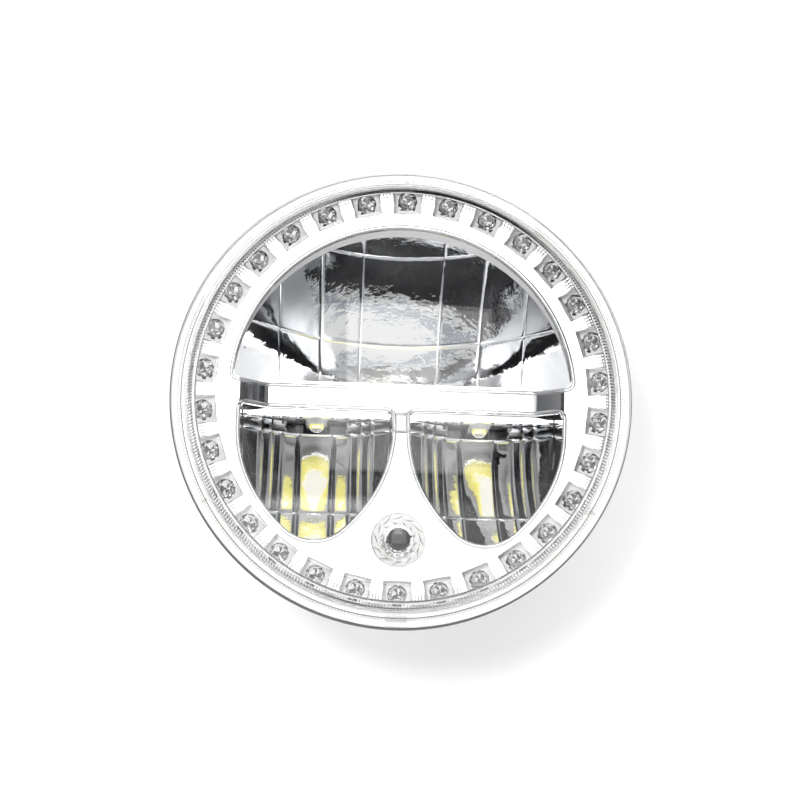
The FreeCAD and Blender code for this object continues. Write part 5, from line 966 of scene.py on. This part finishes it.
def position_optic(glass):
    bm = bmesh.new()
    cut_stone(bm, OPTIC_SIDES, (
        (0.8 * MM, -0.2 * MM, 1), (2.6 * MM, -2.27 * MM, 0), (4.7 * MM, -4.69 * MM, 1),
        (7.6 * MM, -6.1 * MM, 0), (10.1 * MM, -6.6 * MM, 1), (10.1 * MM, -9.6 * MM, 1),
        (8.0 * MM, -11.2 * MM, 0), (5.6 * MM, OPTIC_TABLE, 1)))
    table = max(bm.faces, key=lambda face: -face.calc_center_median().y)
    bmesh.ops.delete(bm, geom=[table], context="FACES_ONLY")
    rim = [edge for edge in bm.edges if edge.is_boundary]
    upright = Matrix.Translation((0, OPTIC_TABLE, 0)) @ Matrix.Rotation(math.pi / 2, 4, "X")
    ring = bmesh.ops.create_circle(bm, segments=48, radius=LENSLET, matrix=upright)["verts"]
    loop = list({edge for vertex in ring for edge in vertex.link_edges})
    bmesh.ops.bridge_loops(bm, edges=rim + loop)
    for angle in (20, 40, 60, 75):
        grown = bmesh.ops.extrude_edge_only(bm, edges=loop)["geom"]
        ahead = corners_of(grown)
        loop = [part for part in grown if isinstance(part, bmesh.types.BMEdge) and
                all(vertex in ahead for vertex in part.verts)]
        radius = LENSLET * math.cos(math.radians(angle))
        depth = OPTIC_TABLE - LENSLET_RISE * math.sin(math.radians(angle))
        for vertex in ahead:
            turn = math.atan2(vertex.co.x, vertex.co.z)
            vertex.co = (radius * math.sin(turn), depth, radius * math.cos(turn))
    bmesh.ops.contextual_create(bm, geom=loop)
    bmesh.ops.recalc_face_normals(bm, faces=bm.faces)
    bmesh.ops.translate(bm, verts=bm.verts, vec=(0, 0, POSITION_DROP))
    piece = finish_piece(bm, "position_optic_cut", glass, smooth=14)
    piece.visible_shadow = False
    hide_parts("position_optic")


position_optic(CUT_GLASS)


# Lens
# Clear polycarbonate, moulded in one piece: a flat flange glued to the rim, a fluted skirt that
# catches light, and a shallow dome. Index marks and the moulding gate stand on the flange.
LENS_RADIUS = 88.3 * MM
LENS_FACE = -7.0 * MM
SKIRT_FRONT = -13.2 * MM
SKIRT_BASE_RADIUS = 83.0 * MM
SKIRT_FRONT_RADIUS = 80.0 * MM
DOME_RISE = 8.8 * MM
LENS_WALL = 2.0 * MM
LENS_BORE = 81.0 * MM
FLUTES = 420
FLUTE_DEPTH = 0.3 * MM
FLUTE_ROWS = 3
MARK_RISE = 0.3 * MM
MARKS_FROM = 83.3 * MM
TONGUE_OUTER = 85.4 * MM
TONGUE_INNER = 82.6 * MM
TONGUE_LENGTH = 1.8 * MM


def dome_arc(edge):
    """Radius of the dome over a chord, and the angle from its top to its edge in degrees."""
    radius = (edge * edge + DOME_RISE * DOME_RISE) / (2 * DOME_RISE)
    return radius, math.degrees(math.asin(edge / radius))


def raised_block(bm, half, inner, outer, turn):
    """A low block on the flange's face, sized in mm at the top and turned clockwise about the axis."""
    corners = box_between(bm, (-half * MM, LENS_FACE - MARK_RISE, inner * MM),
                          (half * MM, LENS_FACE + MARK_RISE, outer * MM))
    bmesh.ops.rotate(bm, verts=corners, cent=(0, 0, 0), matrix=Matrix.Rotation(math.radians(turn), 3, "Y"))


def lens(plastic):
    bm = bmesh.new()
    outer, outer_angle = dome_arc(SKIRT_FRONT_RADIUS)
    inner_edge = SKIRT_FRONT_RADIUS - 0.8 * LENS_WALL
    inner, inner_angle = dome_arc(inner_edge)
    top = SKIRT_FRONT - DOME_RISE
    point = swing(bm, bm.verts.new((0, top, 0)), (0, top + outer, 0), outer_angle)
    round_over = 0.5 * MM
    back = RIM_FACE - 0.04 * MM
    profile = [
        (SKIRT_FRONT_RADIUS + 0.4 * round_over, SKIRT_FRONT + 0.5 * round_over),
        (SKIRT_BASE_RADIUS - 0.2 * MM, LENS_FACE - 0.6 * MM),
        (SKIRT_BASE_RADIUS + 0.3 * MM, LENS_FACE),
        (LENS_RADIUS - round_over, LENS_FACE),
        (LENS_RADIUS, LENS_FACE + round_over),
        (LENS_RADIUS, back),
        (TONGUE_OUTER, back),
        (TONGUE_OUTER, back + TONGUE_LENGTH),
        (TONGUE_INNER, back + TONGUE_LENGTH),
        (TONGUE_INNER, back),
        (LENS_BORE, back),
        (LENS_BORE, LENS_FACE),
    ]
    start = Vector((LENS_BORE, LENS_FACE))
    end = Vector((inner_edge, SKIRT_FRONT + LENS_WALL))
    stations = 2 * FLUTE_ROWS
    profile += [tuple(start.lerp(end, number / stations)) for number in range(1, stations + 1)]
    for across, depth in profile:
        point = run_to(bm, point, (across, depth, 0))
    swing(bm, point, (0, top + LENS_WALL + inner, 0), -inner_angle)
    turn_round(bm, FLUTES * 2)
    along = (end - start).length
    for vertex in bm.verts:
        reach = math.hypot(vertex.co.x, vertex.co.z)
        share = (Vector((reach, vertex.co.y)) - start).dot(end - start) / along ** 2
        off = abs((Vector((reach, vertex.co.y)) - start).cross(end - start)) / along
        if off < 0.02 * MM and 0.01 < share < 0.99 and round(share * stations) % 2:
            turn = math.atan2(vertex.co.z, vertex.co.x)
            if round(turn / math.tau * FLUTES * 2) % 2:
                vertex.co.x *= 1 + FLUTE_DEPTH / reach
                vertex.co.z *= 1 + FLUTE_DEPTH / reach
    for turn in (0, 120, 240):
        raised_block(bm, 1.8, 83.4, 84.2, turn)
        raised_block(bm, 0.45, 84.1, 86.5, turn)
    raised_block(bm, 4.0, 83.7, 86.3, 180)
    piece = finish_piece(bm, "clear_lens", plastic, smooth=20)
    piece.visible_shadow = False
    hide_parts("lens")


def fluted_polycarbonate():
    """Clear plastic with painted shade: greyed in dashes where flutes turn the light aside, on the raised
    marks and at the outer edge.
    """
    material = clear_moulding("clear polycarbonate", (1.0, 1.0, 1.0), 1.5, 0.008)
    tree = material.node_tree
    parts, reach = axis_parts(tree)
    slope = (SKIRT_BASE_RADIUS - SKIRT_FRONT_RADIUS) / (LENS_FACE - SKIRT_FRONT)
    cone = maths(tree, "MULTIPLY_ADD", parts["Y"], slope, SKIRT_BASE_RADIUS - LENS_FACE * slope)
    skirt = maths(tree, "COMPARE", reach, cone, 0.35 * MM)
    share = add(tree, "ShaderNodeMapRange", Value=parts["Y"], From_Min=LENS_FACE - 0.3 * MM,
                From_Max=SKIRT_FRONT + 0.2 * MM, To_Max=FLUTE_ROWS, clamp=False).outputs[0]
    # Painted shade: grey dashes in rows on the skirt, standing in for light that the flutes turn aside.
    band = maths(tree, "COMPARE", maths(tree, "FRACT", share), 0.5, 0.36)
    phase = maths(tree, "MULTIPLY", maths(tree, "FLOOR", share), math.pi)
    turn = maths(tree, "ARCTAN2", parts["Z"], parts["X"])
    wave = maths(tree, "SINE", maths(tree, "MULTIPLY_ADD", turn, FLUTES, phase))
    grey = maths(tree, "GREATER_THAN", wave, 0.1)
    for mask in (band, skirt):
        grey = maths(tree, "MULTIPLY", grey, mask)
    proud = maths(tree, "LESS_THAN", parts["Y"], LENS_FACE - MARK_RISE / 2)
    mark = maths(tree, "MULTIPLY", proud, maths(tree, "GREATER_THAN", reach, MARKS_FROM))
    edge = maths(tree, "GREATER_THAN", reach, LENS_RADIUS - 0.4 * MM)
    # Painted shade on the raised marks and the outer edge, added to the dashes.
    for mask, tone in ((mark, 0.8), (edge, 0.7)):
        grey = maths(tree, "MULTIPLY_ADD", mask, tone, grey)
    feed(tree, Base_Color=ramp(tree, grey, [(0.0, (1.0, 1.0, 1.0)), (1.0, (0.5, 0.5, 0.49))]))
    return material


lens(fluted_polycarbonate())


# Floor and backdrop
# A pale floor under the lamp and a pale backdrop behind it. Each is clear when seen from behind and
# casts no shadow.
def stage_sheet(name, corners):
    material, tree, shader = new_material(name)
    shader.inputs["Base Color"].default_value = (0.80, 0.80, 0.80, 1.0)
    shader.inputs["Roughness"].default_value = 0.9
    shader.inputs["Specular IOR Level"].default_value = 0.0
    behind = add(tree, "ShaderNodeNewGeometry").outputs["Backfacing"]
    clear = add(tree, "ShaderNodeBsdfTransparent")
    mixed = add(tree, "ShaderNodeMixShader", i0=behind, i1=shader.outputs[0], i2=clear.outputs[0])
    tree.links.new(mixed.outputs[0], tree.nodes["Material Output"].inputs["Surface"])
    bm = bmesh.new()
    bm.faces.new([bm.verts.new(corner) for corner in corners])
    mesh = to_mesh(bm, name)
    mesh.materials.append(material)
    sheet = bpy.data.objects.new(name, mesh)
    sheet.visible_shadow = False
    bpy.context.scene.collection.objects.link(sheet)


stage_sheet("pale_floor", [(-3, -3, -0.17), (3, -3, -0.17), (3, 3, -0.17), (-3, 3, -0.17)])
stage_sheet("pale_backdrop", [(-3, 0.115, -3), (3, 0.115, -3), (3, 0.115, 3), (-3, 0.115, 3)])


# Light
# Two soft boxes by the camera that the chrome mirrors, three soft lamps from the side, above and below
# that it doesn't show, and a dark studio with pale walls left, right, below, behind and above.
def soft_box(name, place, size, power, mirrored=False):
    light = bpy.data.lights.new(name, "AREA")
    light.shape = "SQUARE" if mirrored else "DISK"
    light.size = size
    light.energy = power
    lamp = bpy.data.objects.new(name, light)
    lamp.location = place
    lamp.rotation_euler = (-Vector(place)).to_track_quat("-Z", "Y").to_euler()
    lamp.visible_glossy = mirrored
    lamp.visible_transmission = mirrored
    bpy.context.scene.collection.objects.link(lamp)


soft_box("front_box", (0.045, -1.08, 0.195), 0.54, 1.8, mirrored=True)
soft_box("front_core", (0.01, -1.08, 0.33), 0.30, 0.9, mirrored=True)
soft_box("key_box", (-0.27, -1.2, 0.06), 0.22, 7.6)
soft_box("upper_box", (-0.1, -0.64, 1.02), 1.0, 6.0)
soft_box("lower_box", (0.05, -0.64, -1.02), 1.0, 10.0)

world = bpy.data.worlds.new("studio")
world.use_nodes = True
bpy.context.scene.world = world
sky = world.node_tree
direction = add(sky, "ShaderNodeTexCoord").outputs["Generated"]
heading = add(sky, "ShaderNodeSeparateXYZ", Vector=direction).outputs
# The bands of direction that bound each pale wall: axis, from, to and softness
WALLS = (
    (("X", -0.9, -0.35, 0.05), ("Z", -0.25, 0.6, 0.05)),
    (("X", 0.45, 0.75, 0.05), ("Z", -0.1, 0.3, 0.05)),
    (("Z", -0.27, -0.1, 0.03), ("X", -0.2, 0.15, 0.03)),
    (("Y", 0.1, 1.1, 0.05),),
    (("Z", 0.86, 1.2, 0.05),),
)

pale = 0.0
for bands in WALLS:
    wall = 1.0
    for across, low, high, soft in bands:
        for limit, before in ((low, 0.0), (high, 1.0)):
            side = add(sky, "ShaderNodeMapRange", Value=heading[across], From_Min=limit - soft,
                       From_Max=limit + soft, To_Min=before, To_Max=1.0 - before,
                       interpolation_type="SMOOTHSTEP").outputs[0]
            wall = maths(sky, "MULTIPLY", wall, side)
    pale = maths(sky, "MAXIMUM", pale, wall)
surround = ramp(sky, pale, [(0.0, (0.03, 0.032, 0.036)), (1.0, (1.0, 1.0, 1.0))])
to_camera = add(sky, "ShaderNodeLightPath").outputs["Is Camera Ray"]
ground = sky.nodes["Background"]
sky.links.new(mix(sky, to_camera, surround, (1.0, 1.0, 1.0, 1.0)), ground.inputs["Color"])
ground.inputs["Strength"].default_value = 1.0


# Camera
# It looks from slightly below and to the left of the axis, about 0.8 m away, with a long lens.
AIM = Vector((0.0, -9.5, 0.0)) * MM
AZIMUTH = math.radians(-2.3)
ELEVATION = math.radians(-9.9)
DISTANCE = 800.0 * MM
toward = Vector((math.sin(AZIMUTH) * math.cos(ELEVATION), -math.cos(AZIMUTH) * math.cos(ELEVATION),
                 math.sin(ELEVATION)))
view = bpy.data.cameras.new("photograph_view")
view.lens = 94.3
view.sensor_width = 36.0
view.shift_x = -2.4 / 800
view.shift_y = -4.9 / 800
camera = bpy.data.objects.new("photograph_view", view)
turn = (-toward).to_track_quat("-Z", "Y").to_matrix().to_4x4() @ Matrix.Rotation(math.radians(1.57), 4, "Z")
camera.matrix_world = Matrix.Translation(AIM + toward * DISTANCE) @ turn
bpy.context.scene.collection.objects.link(camera)
bpy.context.scene.camera = camera
bpy.context.scene.view_settings.view_transform = "Standard"
